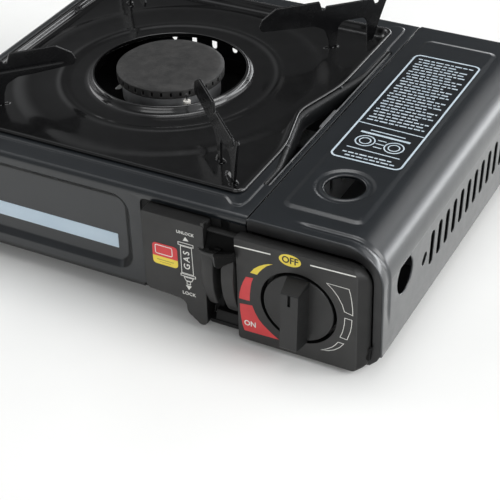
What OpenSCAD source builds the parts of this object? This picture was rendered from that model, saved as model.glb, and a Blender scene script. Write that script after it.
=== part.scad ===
// Table-top cassette stove: sheet-metal body, lift-off drip tray with four pan
// arms, hinged canister lid, moulded control panel with knob and lock lever,
// regulator, mixing tube and burner. Millimetres, +Z up, feet on Z = 0,
// front towards -Y, canister bay on the right (+X).

/* [Body] */
// Width of the body over its side walls
body_w = 345; // [343:0.5:347]
// Height of the top sheet above the table
top_z = 85; // [84.5:0.1:85.5]
// Height of the lower edge of the skirt
skirt_z = 15; // [13.5:0.5:18]
// Radius of the long rounded shoulder over the canister bay
shoulder_r = 25; // [22:0.5:27]
// Radius of the left shoulder, beside the drip tray
shoulder_l_r = 8; // [6:0.5:9]
// Thickness of the body sheet
sheet = 1; // [0.8:0.1:1]
// Depth of the pressed field in the front wall
recess_d = 3.5; // [2:0.5:4.5]

/* [Canister lid] */
// Number of cooling slots in the lid's side wall
vent_count = 14; // [6:1:15]
// Pitch of the cooling slots
vent_pitch = 12.7; // [10:0.1:13]
// Height of the field pressed up in the lid's top
lid_field_h = 1; // [0.6:0.1:1.4]
// Radius of the round view hole in the lid's top
top_hole_r = 12.8; // [10:0.1:13.5]
// Radius of the round hole in the lid's side
side_hole_r = 11.8; // [10:0.1:12.5]

/* [Drip tray] */
// Height of the tray's rim
tray_rim_z = 88.5; // [88:0.1:90]
// Height of the tray's floor, upper side
tray_floor_z = 82.5; // [82:0.1:83]
// Radius of the inner pressed ring
ring_a = 75; // [70:1:79]
// Radius of the outer pressed ring
ring_b = 102; // [96:1:106]
// Radius of the hole round the burner
tray_hole_r = 52; // [48:0.5:54]

/* [Pan arms] */
// Thickness of the arm plates
arm_t = 1.8; // [1.2:0.1:2.4]
// Height of the pan rest above the table
arm_top_z = 119; // [117:0.5:121]

/* [Burner] */
// Radius of the burner cap
burner_r = 37; // [32:0.5:37.5]
// Number of flame ports
port_count = 36; // [18:2:48]

/* [Controls] */
// Radius of the knob's disc
knob_r = 22.8; // [20:0.1:24]
// Width of the knob's bar
knob_bar_w = 13; // [9:0.5:14]
// Radius of the round well the knob sits in
knob_well_r = 24.8; // [24.5:0.1:25.5]
// Width of the lever's thumb rest
lever_head_w = 23; // [18:0.5:24]

/* [Hidden] */
$fn = 64;

xr = body_w / 2;             // right and left faces
xl = -xr;
yf = -125;                   // front wall, outer face
yb = 147.5;                  // rear wall, outer face
seam = 85;                   // where the lid starts
seam_l = 84.3;               // where the top sheet ends
bx0 = -45;                   // burner axis
by0 = 12.5;
burner_fix = [[22, 0], [-22, 0], [0, 22], [0, -22]]; // screws under the burner
pan_z0 = 11.5;               // base pan, underside
pan_z = 12.5;                // base pan, upper side
pf = -135;                   // control panel, front face
kx = 123;                    // knob axis
kz = 38.5;
cx = 128;                    // canister axis
cz = 48;
hx = 91;                     // lid hinge axis
hz = 81;
ly = -85;                    // lever pivot
lz = 46;
lever_up = 17;               // lever angle above level at rest
plateau_z = top_z + 1;       // raised border round the tray
part_x = 79.5;               // partition, left face

// plane-to-solid helpers: sketches lie in XZ, YZ or XY
module ext_y(y0, y1) translate([0, y1, 0]) rotate([90, 0, 0]) linear_extrude(height = y1 - y0) children();
module ext_x(x0, x1) translate([x0, 0, 0]) rotate([90, 0, 90]) linear_extrude(height = x1 - x0) children();
module ext_z(z0, z1) translate([0, 0, z0]) linear_extrude(height = z1 - z0) children();
module bx(x0, x1, y0, y1, z0, z1) translate([x0, y0, z0]) cube([x1 - x0, y1 - y0, z1 - z0]);
module cy(x, z, r, y0, y1) translate([x, y1, z]) rotate([90, 0, 0]) cylinder(r = r, h = y1 - y0);
module cxx(y, z, r, x0, x1) translate([x0, y, z]) rotate([0, 90, 0]) cylinder(r = r, h = x1 - x0);
module cz_(x, y, r, z0, z1) translate([x, y, z0]) cylinder(r = r, h = z1 - z0);

// rounded rectangle from squares and corner circles
module rrect(x0, x1, y0, y1, r) {
    translate([x0 + r, y0]) square([x1 - x0 - 2 * r, y1 - y0]);
    translate([x0, y0 + r]) square([x1 - x0, y1 - y0 - 2 * r]);
    for (x = [x0 + r, x1 - r], y = [y0 + r, y1 - r]) translate([x, y]) circle(r = r);
}
// block with one rounded upper corner, right or left
module arch_r(x0, x1, z0, z1, r) {
    translate([x0, z0]) square([x1 - r - x0, z1 - z0]);
    translate([x0, z0]) square([x1 - x0, z1 - r - z0]);
    translate([x1 - r, z1 - r]) circle(r = r, $fn = 96);
}
module arch_l(x0, x1, z0, z1, r) {
    translate([x0 + r, z0]) square([x1 - x0 - r, z1 - z0]);
    translate([x0, z0]) square([x1 - x0, z1 - r - z0]);
    translate([x0 + r, z1 - r]) circle(r = r, $fn = 96);
}
// straight slot with round ends, length l along the sketch's second axis
module slot2(w, l) {
    translate([-w / 2, -l / 2 + w / 2]) square([w, l - w]);
    translate([0, l / 2 - w / 2]) circle(d = w, $fn = 24);
    translate([0, -l / 2 + w / 2]) circle(d = w, $fn = 24);
}

// the notch in the tray's right edge: two slopes and a round bottom
notch_y = -2;
notch_tip = 61.8;
function notch_x(y) = let (d = abs(y - notch_y))
    d < 7.5 ? notch_tip + 30 - sqrt(900 - d * d) : notch_tip - 1 + d * 0.26;
module notch(e) polygon(concat(
    [for (i = [0 : 32]) let (y = notch_y - 66 + i * 4.125) [notch_x(y) - e * 1.03, y]],
    [[120, notch_y + 66], [120, notch_y - 66]]));
// tray outline, inset by e
tx0 = -159; tx1 = 71.8; ty0 = -105.6; ty1 = 128.7;
module tray2(e) difference() {
    rrect(tx0 + e, tx1 - e, ty0 + e, ty1 - e, 12 - e * 0.6);
    notch(e);
}
// opening in the top sheet under the tray and beside it
module well2() {
    rrect(tx0 + 2, tx1 - 2, ty0 + 2, ty1 - 2, 10);
    intersection() { notch(0); translate([50, -68]) square([30, 132]); }
    translate([78.2, -87.5]) square([4.1, 189]);
}

// ---------------------------------------------------------------- body
module body_shell() color([0.14, 0.16, 0.19]) {
    difference() {
        union() {
            ext_y(yf, yb) difference() {
                arch_l(xl, seam_l, skirt_z, top_z, shoulder_l_r);
                arch_l(xl + sheet, seam_l + 1, skirt_z - 1, top_z - sheet, shoulder_l_r - sheet);
            }
            ext_y(yf, yf + 1) arch_l(xl, seam_l, skirt_z, top_z, shoulder_l_r);
            ext_y(yb - 1, yb) arch_l(xl, seam_l, skirt_z, top_z, shoulder_l_r);
            // pressed field in the front wall
            ext_y(yf, yf + recess_d + 1) rrect(-161, 2.5, 21.3, 77.4, 12);
            // raised border round the tray
            ext_z(top_z - 1, plateau_z) {
                rrect(-163.4, 78.2, -110.3, 133.4, 8);
                rrect(64, 78.2, -115.9, 139, 4.5);
            }
        }
        ext_y(yf - 1, yf + recess_d) rrect(-160, 1.5, 22.3, 76.4, 11);
        ext_z(top_z - 3, plateau_z + 1) well2();
        // room for the lid's edge as it swings
        for (y = [yf - 1, yb - 2]) bx(83.2, seam_l + 2, y, y + 3, skirt_z - 1, top_z - 1);
        // opening for the control panel
        ext_y(yf - 1, yf + 2) {
            translate([11.5, 0]) square([84, 75.7]);
            translate([15.2, 70]) square([80, 9.4]);
            translate([15.2, 75.7]) circle(r = 3.7);
        }
        // cooling slots, left wall and rear wall
        ext_x(xl - 1, xl + 2) for (i = [0 : 9]) translate([-70 + i * 18, 42]) slot2(4, 24);
        ext_y(yb - 2, yb + 1) for (i = [0 : 8]) translate([-140 + i * 18, 42]) slot2(4, 24);
    }
}
module base_pan() color([0.30, 0.31, 0.32]) difference() {
    union() {
        bx(xl + 1, 10, yf + 1, yb - 1, pan_z0, pan_z);
        bx(9, xr - 3, yf + 2, yb - 2, pan_z0, pan_z);
        bx(9, 79, yf + 2, yb - 1, pan_z0, pan_z);
        bx(xl + 1, xl + 2, yf + 1, yb - 1, pan_z0, 24);
        bx(xl + 1, 10, yf + 1, yf + 2, pan_z0, 20.5);
        bx(xl + 1, 79, yb - 2, yb - 1, pan_z0, 24);
        bx(xr - 4, xr - 3, yf + 2, yb - 2, pan_z0, 19);
    }
    for (y = [-40 : 25 : 110]) ext_z(pan_z0 - 1, pan_z + 1) translate([105, y]) circle(r = 3);
    for (x = [-foot_x, foot_x], y = [-100, 124]) cz_(x, y, 2.05, pan_z0 - 1, pan_z + 1);
    for (i = [0 : 4]) ext_z(pan_z0 - 1, pan_z + 1) translate([-140 + i * 12, 100]) slot2(5, 30);
    for (p = burner_fix) cz_(bx0 + p[0], by0 + p[1], 1.6, pan_z0 - 1, pan_z + 1);
}
// arch-shaped end plates of the canister bay
module hinge_relief() {
    translate([hx, hz]) circle(r = 8);
    translate([60, 73]) square([31, 20]);
}
module end_plate_front() color([0.10, 0.10, 0.11]) ext_y(yf + 1, yf + 2) difference() {
    arch_r(16.5, xr - 1.3, 5, top_z - 1.3, shoulder_r - 1.3);
    arch_r(15, xr - 8.5, 14, 77.5, 17);
    translate([15, 40]) square([84, 60]);
    hinge_relief();
    translate([15, 4]) square([73, 24]);
    for (x = [96, 154]) translate([x, 9]) circle(r = 2);
}
module end_plate_rear() color([0.12, 0.13, 0.15]) ext_y(yb - 2, yb - 1) difference() {
    arch_r(80.5, xr - 1.3, pan_z, top_z - 1.3, shoulder_r - 1.3);
    hinge_relief();
    translate([79, 72]) square([12, 20]);
    for (i = [0 : 3]) translate([106 + i * 15, 48]) slot2(4, 26);
}
module partition_wall() color([0.62, 0.63, 0.64]) difference() {
    union() {
        bx(part_x, part_x + 1, -116, yb - 1, pan_z, top_z - 1);
        bx(part_x - 9, part_x, -40, yb - 2.1, pan_z, pan_z + 1);
    }
    bx(part_x - 1, part_x + 2, yf - 1, -100, 72, 86);
    bx(part_x - 1, part_x + 2, -7, 27, 66, 76);
    bx(part_x - 1, part_x + 2, -70, -56, 47, 63);
    ext_x(part_x - 1, part_x + 2) {
        translate([-114, 24]) circle(r = 4);
        translate([-118, 20]) square([4, 8]);
        translate([-78, 70]) circle(r = 3);
        for (i = [0 : 5]) translate([-20 + i * 24, 36]) slot2(4, 22);
    }
}

// ------------------------------------------------------- control panel
// front outline of the moulding, inset by e: plate with the lever slot and its
// curved leg on the left, knob plate on the right
function arcp(x, y, r, a0, a1, n = 6) = [for (i = [0 : n]) let (a = a0 + (a1 - a0) * i / n) [x + r * cos(a), y + r * sin(a)]];
module panel2(e) polygon(concat(
    arcp(20.7 + e, 75.5 - e, 2, 90, 180, 4),
    [[18.7 + e, 25.5 + e], [20.5 + e, 22.8 + e], [39, 20.7 + e]],
    arcp(40 + e, 8.7 + e, 12, 90, 30),
    arcp(57 + e, 10.5 + e, 6.8, 160, 270),
    [[61 - e, 3.7 + e], [61 - e, 8.5 + e], [82 + e, 8.5 + e]],
    arcp(85 + e, 6.4 + e, 3, 180, 270, 4),
    arcp(155.3 - e, 9.4 + e, 6, 270, 360),
    arcp(151.3 - e, 69 - e, 10, 0, 90),
    [[82, 79 - e], [82, 77.5 - e]]));
module control_panel() color([0.17, 0.17, 0.17]) difference() {
    union() {
        difference() {
            ext_y(pf, yf - 0.2) panel2(0);
            ext_y(pf + 2.5, yf + 1) {
                translate([20.9, 25.2]) square([66, 50.1]);
                translate([60.4, 10.6]) square([26, 60]);
                rrect(84.2, 159, 5.7, 76.7, 7);
            }
        }
        // well of the knob
        cy(kx, kz, knob_well_r + 2, pf + 1, yf - 0.2);
        // lugs to the body
        for (x = [92, 150]) bx(x, x + 8, pf + 2, yf + 1, 5, 12.5);
        bx(20, 30, pf + 2, yf + 1, 62, 70);
        // tongue behind the front wall
        bx(6, 30, yf + 1, yf + 3, 62, 70);
    }
    cy(kx, kz, knob_well_r, pf - 1, yf - 1.7);
    cy(kx, kz, 6, pf, yf + 2);
    bx(61, 82, pf - 1, pf + 3.5, 13, 74.5);
    // screw holes in the lugs
    for (x = [96, 154]) cy(x, 9, 1.6, yf - 6, yf + 2);
}
// moulded cradle of the lever: two cheeks with the pivot bores, proud of the plate
module cheek(x0, x1, r0, r1) ext_x(x0, x1) polygon(concat(arcp(ly, lz, r1, 153, 212, 12), arcp(ly, lz, r0, 212, 153, 4)));
module lever_cradle() color([0.17, 0.17, 0.17]) difference() {
    union() {
        cheek(61.2, 66.4, 4, 53);
        cheek(73.6, 75.9, 4, 53);
        cheek(75.4, 81.8, 42, 52.6);
        for (x = [[61.5, 66], [73.9, 75.7]]) cxx(ly, lz, 7.6, x[0], x[1]);
        // foot of the cradle on the base pan
        bx(61.4, 81.6, -130, -118, pan_z, 21);
    }
    cxx(ly, lz, 2.5, 50, 90);
}
module panel_screws() color([0.72, 0.72, 0.74])
    for (p = [[96, 9], [154, 9]]) { cy(p[0], p[1], 1.55, yf - 5.5, yf + 3); cy(p[0], p[1], 2.4, yf + 2, yf + 3.6); }
module badge_strip() color([0.78, 0.84, 0.89]) ext_y(yf + recess_d - 0.3, yf + recess_d) rrect(-140, -8.8, 33.9, 44.6, 0.5);
module panel_label() color([0.82, 0.2, 0.22]) ext_y(pf - 0.25, pf) rrect(24.8, 42.2, 42.1, 57.6, 2.5);

// ------------------------------------------------- valve and regulator
module valve_bracket() color([0.66, 0.67, 0.68]) ext_y(yf + 2, yf + 3.5) difference() {
    translate([86, pan_z]) square([74, 59.5]);
    translate([kx, kz]) circle(r = 9);
    for (x = [96, 154]) translate([x, 9]) circle(r = 3);
    translate([145, 62]) circle(r = 6);
}
module valve_body() color([0.76, 0.62, 0.33]) difference() {
    union() {
        cy(kx, kz, 12, yf + 3.5, -108);
        bx(113, 133, -119, -109, 18, 38);
    }
    cy(kx, kz, 3.05, yf, -110);
    cxx(-114, 24, 2.55, 110, 119);
}
module regulator_body() color([0.62, 0.63, 0.65]) difference() {
    union() { cy(cx, cz, 22, -100, -85); cy(cx, cz, 12, -86, -82); }
    cy(cx, cz, 19, -101, -88);
    cy(cx, cz, 1.5, -90, -80);
}
module regulator_cap() color([0.62, 0.63, 0.65]) difference() {
    union() { cy(cx, cz, 22, -104, -100.8); cy(cx, cz, 11, -108, -103); }
    cy(cx, cz, 8, -106.5, -100);
}
module regulator_diaphragm() color([0.1, 0.1, 0.1]) cy(cx, cz, 21.5, -100.8, -100);
// sweep of a round section along a list of points
function unit(v) = v / norm(v);
module sweep(path, r, n = 8) {
    m = len(path);
    tan_ = [for (i = [0 : m - 1]) unit(path[min(i + 1, m - 1)] - path[max(i - 1, 0)])];
    ref = [0.0123, 0.0217, 1];
    pts = [for (i = [0 : m - 1]) let (t = tan_[i], u = unit(cross(t, abs(t[2]) > 0.95 ? [1, 0.02, 0] : ref)), v = cross(t, u))
        for (k = [0 : n - 1]) path[i] + r * (cos(k * 360 / n) * u + sin(k * 360 / n) * v)];
    polyhedron(points = pts, faces = concat(
        [[for (k = [n - 1 : -1 : 0]) k]],
        [for (i = [0 : m - 2], k = [0 : n - 1]) each [[i * n + k, i * n + (k + 1) % n, (i + 1) * n + (k + 1) % n], [i * n + k, (i + 1) * n + (k + 1) % n, (i + 1) * n + k]]],
        [[for (k = [0 : n - 1]) (m - 1) * n + k]]));
}
module regulator_spring() color([0.7, 0.7, 0.7])
    sweep([for (i = [0 : 60]) [cx + 6 * cos(i * 18), -101.4 - i * 0.07, cz + 6 * sin(i * 18)]], 0.45, 8);
module can_socket() color([0.78, 0.64, 0.34]) difference() {
    union() { cy(cx, cz, 9, -82, -76); cy(cx, cz, 6, -76, -72); }
    cy(cx, cz, 2.1, -79.5, -71);
    cy(cx, cz, 4, -82.5, -79.5);
}
module socket_seal() color([0.08, 0.08, 0.08]) difference() { cy(cx, cz, 3.95, -82, -79.5); cy(cx, cz, 1.8, -83, -79); }
module gas_pipe() color([0.74, 0.74, 0.72]) {
    difference() { cxx(-114, 24, 2.5, 58, 118); cxx(-114, 24, 1.6, 62, 119); }
}

// burner gas line: from the jet to the burner axis
jx = 56; jy = -114;                       // start of the slanted line
jl = norm([bx0 - jx, by0 - jy]);
ja = atan2(by0 - jy, bx0 - jx);           // heading in plan
module on_line() translate([bx0, by0, 24]) rotate([0, 0, ja]) rotate([0, -90, 0]) children();
module jet_nozzle() color([0.78, 0.64, 0.34]) difference() {
    on_line() difference() {
        union() { translate([0, 0, jl - 5.5]) cylinder(r = 5, h = 9, $fn = 6); translate([0, 0, jl - 13]) cylinder(r = 3.2, h = 8); }
        translate([0, 0, jl - 14]) cylinder(r = 0.8, h = 12);
    }
    // socket for the gas pipe
    cxx(-114, 24, 2.55, 57.8, 70);
}
module mixing_tube() color([0.70, 0.71, 0.72]) on_line() difference() {
    union() { translate([0, 0, 13]) cylinder(r = 9, h = jl - 28); translate([0, 0, jl - 24]) cylinder(r = 11, h = 14); }
    translate([0, 0, 12]) cylinder(r = 8, h = jl - 22);
    translate([0, 0, jl - 14]) cylinder(r = 9.5, h = 5);
}
module burner_bracket() color([0.66, 0.67, 0.68]) difference() {
    ext_z(pan_z, pan_z + 1.5) translate([bx0, by0]) { rrect(-26, 26, -26, 26, 4); }
    for (p = burner_fix) cz_(bx0 + p[0], by0 + p[1], 1.6, 10, 20);
}
module burner_base() color([0.60, 0.61, 0.62]) difference() {
    union() {
        translate([bx0, by0, 0]) rotate_extrude($fn = 96)
            polygon([[0, 14], [14, 14], [14, 56], [34, 70], [34, 84], [0, 84]]);
        on_line() cylinder(r = 9.9, h = 20);
    }
    translate([bx0, by0, 0]) rotate_extrude($fn = 96)
        polygon([[0, 16], [11, 16], [11, 57], [31.5, 71.5], [31.5, 85], [0, 85]]);
    on_line() cylinder(r = 9.05, h = 21);
}
module burner_cap() color([0.34, 0.34, 0.35]) difference() {
    translate([bx0, by0, 0]) rotate_extrude($fn = 96)
        polygon([[0, 89], [16, 89], [22, 87.5], [31, 84], [burner_r, 84], [burner_r, 90], [burner_r - 3, 92], [20, 92.8], [0, 92.8]]);
    for (i = [0 : port_count - 1]) translate([bx0, by0, 0]) rotate([0, 0, i * 360 / port_count]) bx(burner_r - 4, burner_r + 2, -0.7, 0.7, 85.5, 88.5);
}
module burner_screws() color([0.7, 0.7, 0.72])
    for (p = burner_fix) { cz_(bx0 + p[0], by0 + p[1], 1.55, pan_z0 - 1.2, 14.1); cz_(bx0 + p[0], by0 + p[1], 3, 14, 16); }
ex = bx0 + 41 * cos(-45); ey = by0 + 41 * sin(-45);
module spark_electrode() color([0.92, 0.91, 0.88]) difference() {
    union() { cz_(ex, ey, 2.5, 62, 84); cz_(ex, ey, 3.2, 70, 72); }
    cz_(ex, ey, 0.8, 60, 86);
}
module electrode_clip() color([0.66, 0.67, 0.68]) ext_z(72, 73.2) translate([bx0, by0]) rotate(-45) difference() {
    translate([30, -4.5]) square([16, 9]);
    circle(r = 34, $fn = 96);
    translate([41, 0]) circle(r = 2.55);
}
module electrode_wire() color([0.7, 0.7, 0.72]) cz_(ex, ey, 0.75, 60, 89);
module piezo_igniter() color([0.12, 0.12, 0.13]) {
    cy(101, 63, 8, yf + 3.5, -100);
    cy(101, 63, 5, -100.1, -92);
}
lead_route = [[101, -92, 63], [101, -87, 63], [97, -81, 67], [89, -78.5, 70], [80, -78, 70], [70, -76, 70.5], [58, -68, 71], [46, -56, 69],
    [34, -44, 66], [22, -34, 62], [10, -26, 58], [0, -20, 55.5], [-8, -17.5, 54.5], [-13.5, -16.6, 55], [ex, ey, 57], [ex, ey, 60]];
function mix4(a, b, c, d, t) = 0.5 * ((2 * b) + (c - a) * t + (2 * a - 5 * b + 4 * c - d) * t * t + (3 * b - a - 3 * c + d) * t * t * t);
lead_n = len(lead_route);
lead_pts = [for (i = [0 : lead_n - 2]) for (k = [0 : 2])
    mix4(lead_route[max(i - 1, 0)], lead_route[i], lead_route[i + 1], lead_route[min(i + 2, lead_n - 1)], k / 3)];
module ignition_lead() color([0.55, 0.1, 0.1]) sweep(concat(lead_pts, [lead_route[lead_n - 1]]), 1.3, 8);
module heat_plate() color([0.80, 0.81, 0.82]) difference() {
    union() {
        bx(-8, 76, 0, 20, 58, 60);
        bx(74, 76, -2, 22, 58, 77);
        bx(74, part_x, -2, 22, 76.9, 78.5);
        bx(74, 90.5, 0, 20, 69, 71);
        bx(88.5, 90.5, 0, 20, 40, 71);
    }
    translate([bx0, by0, 50]) cylinder(r = 38, h = 20);
}
module saddle(y) ext_y(y, y + 1.5) difference() {
    translate([98, pan_z]) square([60, 12]);
    translate([cx, cz]) circle(r = 34.3, $fn = 128);
}
module can_saddle_front() color([0.62, 0.63, 0.64]) saddle(-34);
module can_saddle_rear() color([0.62, 0.63, 0.64]) saddle(96);

// ------------------------------------------------------------ lid hinge
module hinge_arm(y) ext_y(y, y + 1.5) difference() {
    union() {
        translate([part_x + 1, 60]) square([13.5, 8]);
        translate([89.4, 60]) square([4.2, 21]);
        translate([hx, hz]) circle(r = 2.6);
    }
    translate([hx, hz]) circle(r = 1.5);
}
module hinge_bracket_front() color([0.62, 0.63, 0.64]) hinge_arm(-99);
module hinge_bracket_rear() color([0.62, 0.63, 0.64]) hinge_arm(138);
module lid_hinge_pins() color([0.7, 0.7, 0.72]) for (y = [[-100.5, -94.5], [134.5, 140.5]]) cy(hx, hz, 1.45, y[0], y[1]);

// -------------------------------------------------------- lever and clamp
module lever_pivot_pin() color([0.7, 0.7, 0.72]) cxx(ly, lz, 2.45, 60.5, 77);
module lock_lever() color([0.13, 0.13, 0.13]) difference() {
    translate([0, ly, lz]) rotate([-lever_up, 0, 0]) {
        // arm and hub in the track
        bx(67, 73, -56, 0, -4.5, 4.5);
        cxx(0, 0, 6.5, 67, 73);
        // thumb rest over the cheeks
        bx(61.4, 81.6, -58, -53.8, -2.9, 2.9);
        bx(71.5 - lever_head_w / 2, 71.5 + lever_head_w / 2, -60, -56.4, -2.4, 2.9);
        // pointed chin under the rest
        ext_x(68, 81.5) polygon([[-58, -2.9], [-53.8, -2.9], [-53.8, -6.5], [-55.2, -7.5]]);
    }
    cxx(ly, lz, 2.55, 50, 90);
}
module lever_crank() translate([0, ly, lz]) { bx(67, 73, -2.4, 2.4, 5.5, 12.4); cxx(0, 10, 1.8, 72, 78.6); }
module clamp_slide() color([0.72, 0.73, 0.74]) difference() {
    union() {
        bx(76.6, 78.2, -92, -58.5, 50.5, 60.5);
        bx(76.6, 106, -60, -58.5, 50.5, 60.5);
        ext_y(-60, -58.5) difference() {
            union() { translate([cx, cz]) circle(r = 25, $fn = 96); translate([100, 44]) square([10, 16.5]); }
            translate([cx, cz]) circle(r = 19, $fn = 96);
            translate([cx - 19, cz]) square([38, 40]);
            translate([60, 62]) square([120, 30]);
        }
    }
    ext_x(70, 80) translate([-85, 55.2]) slot2(4.4, 8.6);
}
module clamp_guide() color([0.62, 0.63, 0.64]) difference() {
    bx(75.4, part_x, -76.4, -70.6, 48, 63);
    bx(76.2, 78.6, -80, -69, 50.1, 60.9);
}

// ----------------------------------------------------------------- feet
module foot(x, y) color([0.07, 0.07, 0.07]) difference() {
    translate([x, y, 0]) rotate_extrude() polygon([[0, 0], [8, 0], [9, 1], [10, pan_z0], [0, pan_z0]]);
    cz_(x, y, 4, -1, 4);
    cz_(x, y, 2.05, 3, pan_z0 + 1);
}
foot_x = 148;
module foot_front_left() foot(-foot_x, -100);
module foot_front_right() foot(foot_x, -100);
module foot_rear_left() foot(-foot_x, 124);
module foot_rear_right() foot(foot_x, 124);
module base_screws() color([0.7, 0.7, 0.72])
    for (x = [-foot_x, foot_x], y = [-100, 124]) { cz_(x, y, 3.5, pan_z, 15); cz_(x, y, 2, 5, pan_z + 0.1); }

// ----------------------------------------------------------------- knob
module knob() color([0.14, 0.14, 0.14]) difference() {
    union() {
        cy(kx, kz, knob_r, pf - 0.5, pf + 6.5);
        intersection() {
            ext_x(kx - 15, kx + 15) polygon([[pf, kz - 20.6], [pf - 12.5, kz - 18.2], [pf - 12.5, kz + 18.2], [pf, kz + 20.6]]);
            ext_z(kz - 30, kz + 30) polygon([[kx - knob_bar_w / 2 - 0.6, pf], [kx - knob_bar_w / 2 + 0.3, pf - 11.4], [kx, pf - 12.5],
                [kx + knob_bar_w / 2 - 0.3, pf - 11.4], [kx + knob_bar_w / 2 + 0.6, pf]]);
        }
        cy(kx, kz, 7, pf + 6, pf + 8);
    }
    cy(kx, kz, 3.05, pf + 1, yf);
    bx(kx - 0.7, kx + 0.7, pf - 14, pf - 11.2, kz + 12, kz + 20);
}
module knob_shaft() color([0.78, 0.64, 0.34]) cy(kx, kz, 3, pf + 1.2, -110.5);

// ------------------------------------------------------------------ lid
module canister_lid() color([0.16, 0.18, 0.21]) difference() {
    union() {
        ext_y(yf, yb) difference() {
            arch_r(seam, xr, pan_z0 - 0.5, top_z, shoulder_r);
            arch_r(seam - 1, xr - sheet, 0, top_z - sheet, shoulder_r - sheet);
        }
        // narrow returns along the front and rear edges
        for (y = [yf, yb - 0.8]) ext_y(y, y + 0.8) difference() {
            arch_r(100, xr, pan_z0 - 0.5, top_z, shoulder_r);
            arch_r(98, xr - 2, 0, top_z - 2, shoulder_r - 2);
        }
        // raised field, ring round the view hole, bead along the front edge
        ext_z(top_z - 1, top_z + lid_field_h) rrect(95.6, 150.4, -104.4, 129, 7);
        // ears on the hinge pins
        for (y = [[-97.2, -95.7], [136.2, 137.7]]) ext_y(y[0], y[1]) {
            translate([hx, hz]) circle(r = 3);
            translate([hx - 3, hz]) square([6, 3.5]);
        }
    }
    cz_(kx, -70, top_hole_r, 60, 100);
    cxx(-92, 50, side_hole_r, xr - 10, xr + 5);
    ext_x(xr - 10, xr + 5) {
        for (i = [0 : vent_count - 1]) translate([-48.5 + i * vent_pitch, 42.2]) rotate(-8) slot2(5.8, 23.4);
        translate([-60.8, 41.4]) rotate(-42) slot2(4.6, 8.6);
    }
    for (y = [-99, 134]) cy(hx, hz, 1.5, y, y + 6);
    bx(80, 92, -99.6, -97.4, 70, 83.9);
}
module lid_label() color([0.9, 0.9, 0.92]) ext_z(top_z + lid_field_h, top_z + lid_field_h + 0.2) rrect(98.4, 146.9, -41.6, 104, 5);

// ----------------------------------------------------- tray and pan arms
module bead(r, w) translate([bx0, by0, 0]) rotate_extrude($fn = 128) translate([r, tray_floor_z - 0.4]) circle(r = w, $fn = 32);
module drip_tray() color([0.06, 0.06, 0.06]) difference() {
    union() {
        ext_z(tray_floor_z - 1, tray_floor_z) tray2(3.5);
        ext_z(tray_floor_z - 1, tray_rim_z) difference() { tray2(3); tray2(4); }
        ext_z(tray_rim_z - 1, tray_rim_z) difference() { tray2(0); tray2(4); }
        ext_z(plateau_z, tray_rim_z) difference() { tray2(0); tray2(1); }
        intersection() {
            union() { bead(ring_a, 2.2); bead(ring_b, 2.2); }
            ext_z(tray_floor_z - 0.5, 90) tray2(3.5);
        }
        translate([bx0, by0, tray_floor_z - 1]) cylinder(r = tray_hole_r + 1, h = 6.5, $fn = 128);
    }
    cz_(bx0, by0, tray_hole_r, 70, 100);
    for (k = [0 : 3], r = [118, 146]) translate([bx0, by0, 0]) rotate([0, 0, -45 + 90 * k]) cz_(r, 0, 1.05, 70, 83.6);
}
// one pan arm: upright plate on two legs, in the plane through the burner axis
module pan_arm(a) color([0.10, 0.10, 0.10]) translate([bx0, by0, 0]) rotate([0, 0, a]) translate([0, arm_t / 2, 0]) rotate([90, 0, 0])
    linear_extrude(height = arm_t) polygon([
        [114, tray_floor_z], [122, tray_floor_z], [123.5, 99], [125, 101], [142, 101], [143.5, 99], [142, tray_floor_z], [150.5, tray_floor_z],
        [152.5, 96], [155.5, 105], [159.5, 114], [160, 117], [158.5, arm_top_z - 0.6], [156.5, arm_top_z], [153.5, 115.4], [152, 110.6],
        [149.5, 110.6], [148.5, 114.7], [112.5, 114.7], [111.5, 112.6], [109.6, 112.6], [108.6, arm_top_z], [76, arm_top_z], [66, 112],
        [64, 106], [66, 103], [104, 101], [112, 99]]);
module trivet_arm_front_right() pan_arm(-45);
module trivet_arm_front_left() pan_arm(-135);
module trivet_arm_rear_left() pan_arm(135);
module trivet_arm_rear_right() pan_arm(45);
module arm_rivets() color([0.5, 0.5, 0.5])
    for (k = [0 : 3], r = [118, 146]) translate([bx0, by0, 0]) rotate([0, 0, -45 + 90 * k]) {
        cz_(r, 0, 1, tray_floor_z - 1, tray_floor_z);
        cz_(r, 0, 2, tray_floor_z - 1.8, tray_floor_z - 1);
    }

body_shell();
base_pan();
end_plate_front();
end_plate_rear();
partition_wall();
control_panel();
lever_cradle();
panel_screws();
badge_strip();
panel_label();
valve_bracket();
valve_body();
regulator_body();
regulator_cap();
regulator_diaphragm();
regulator_spring();
can_socket();
socket_seal();
gas_pipe();
jet_nozzle();
mixing_tube();
burner_bracket();
burner_base();
burner_cap();
burner_screws();
spark_electrode();
electrode_clip();
electrode_wire();
piezo_igniter();
ignition_lead();
heat_plate();
can_saddle_front();
can_saddle_rear();
hinge_bracket_front();
hinge_bracket_rear();
lid_hinge_pins();
lever_pivot_pin();
clamp_guide();
foot_front_left();
foot_front_right();
foot_rear_left();
foot_rear_right();
base_screws();
knob();
knob_shaft();
union() { lock_lever(); color([0.13, 0.13, 0.13]) lever_crank(); }
clamp_slide();
canister_lid();
lid_label();
drip_tray();
trivet_arm_front_right();
trivet_arm_front_left();
trivet_arm_rear_left();
trivet_arm_rear_right();
arm_rivets();
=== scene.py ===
import math

import bmesh
import bpy
from mathutils import Matrix, Vector
from mathutils.geometry import delaunay_2d_cdt


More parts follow.
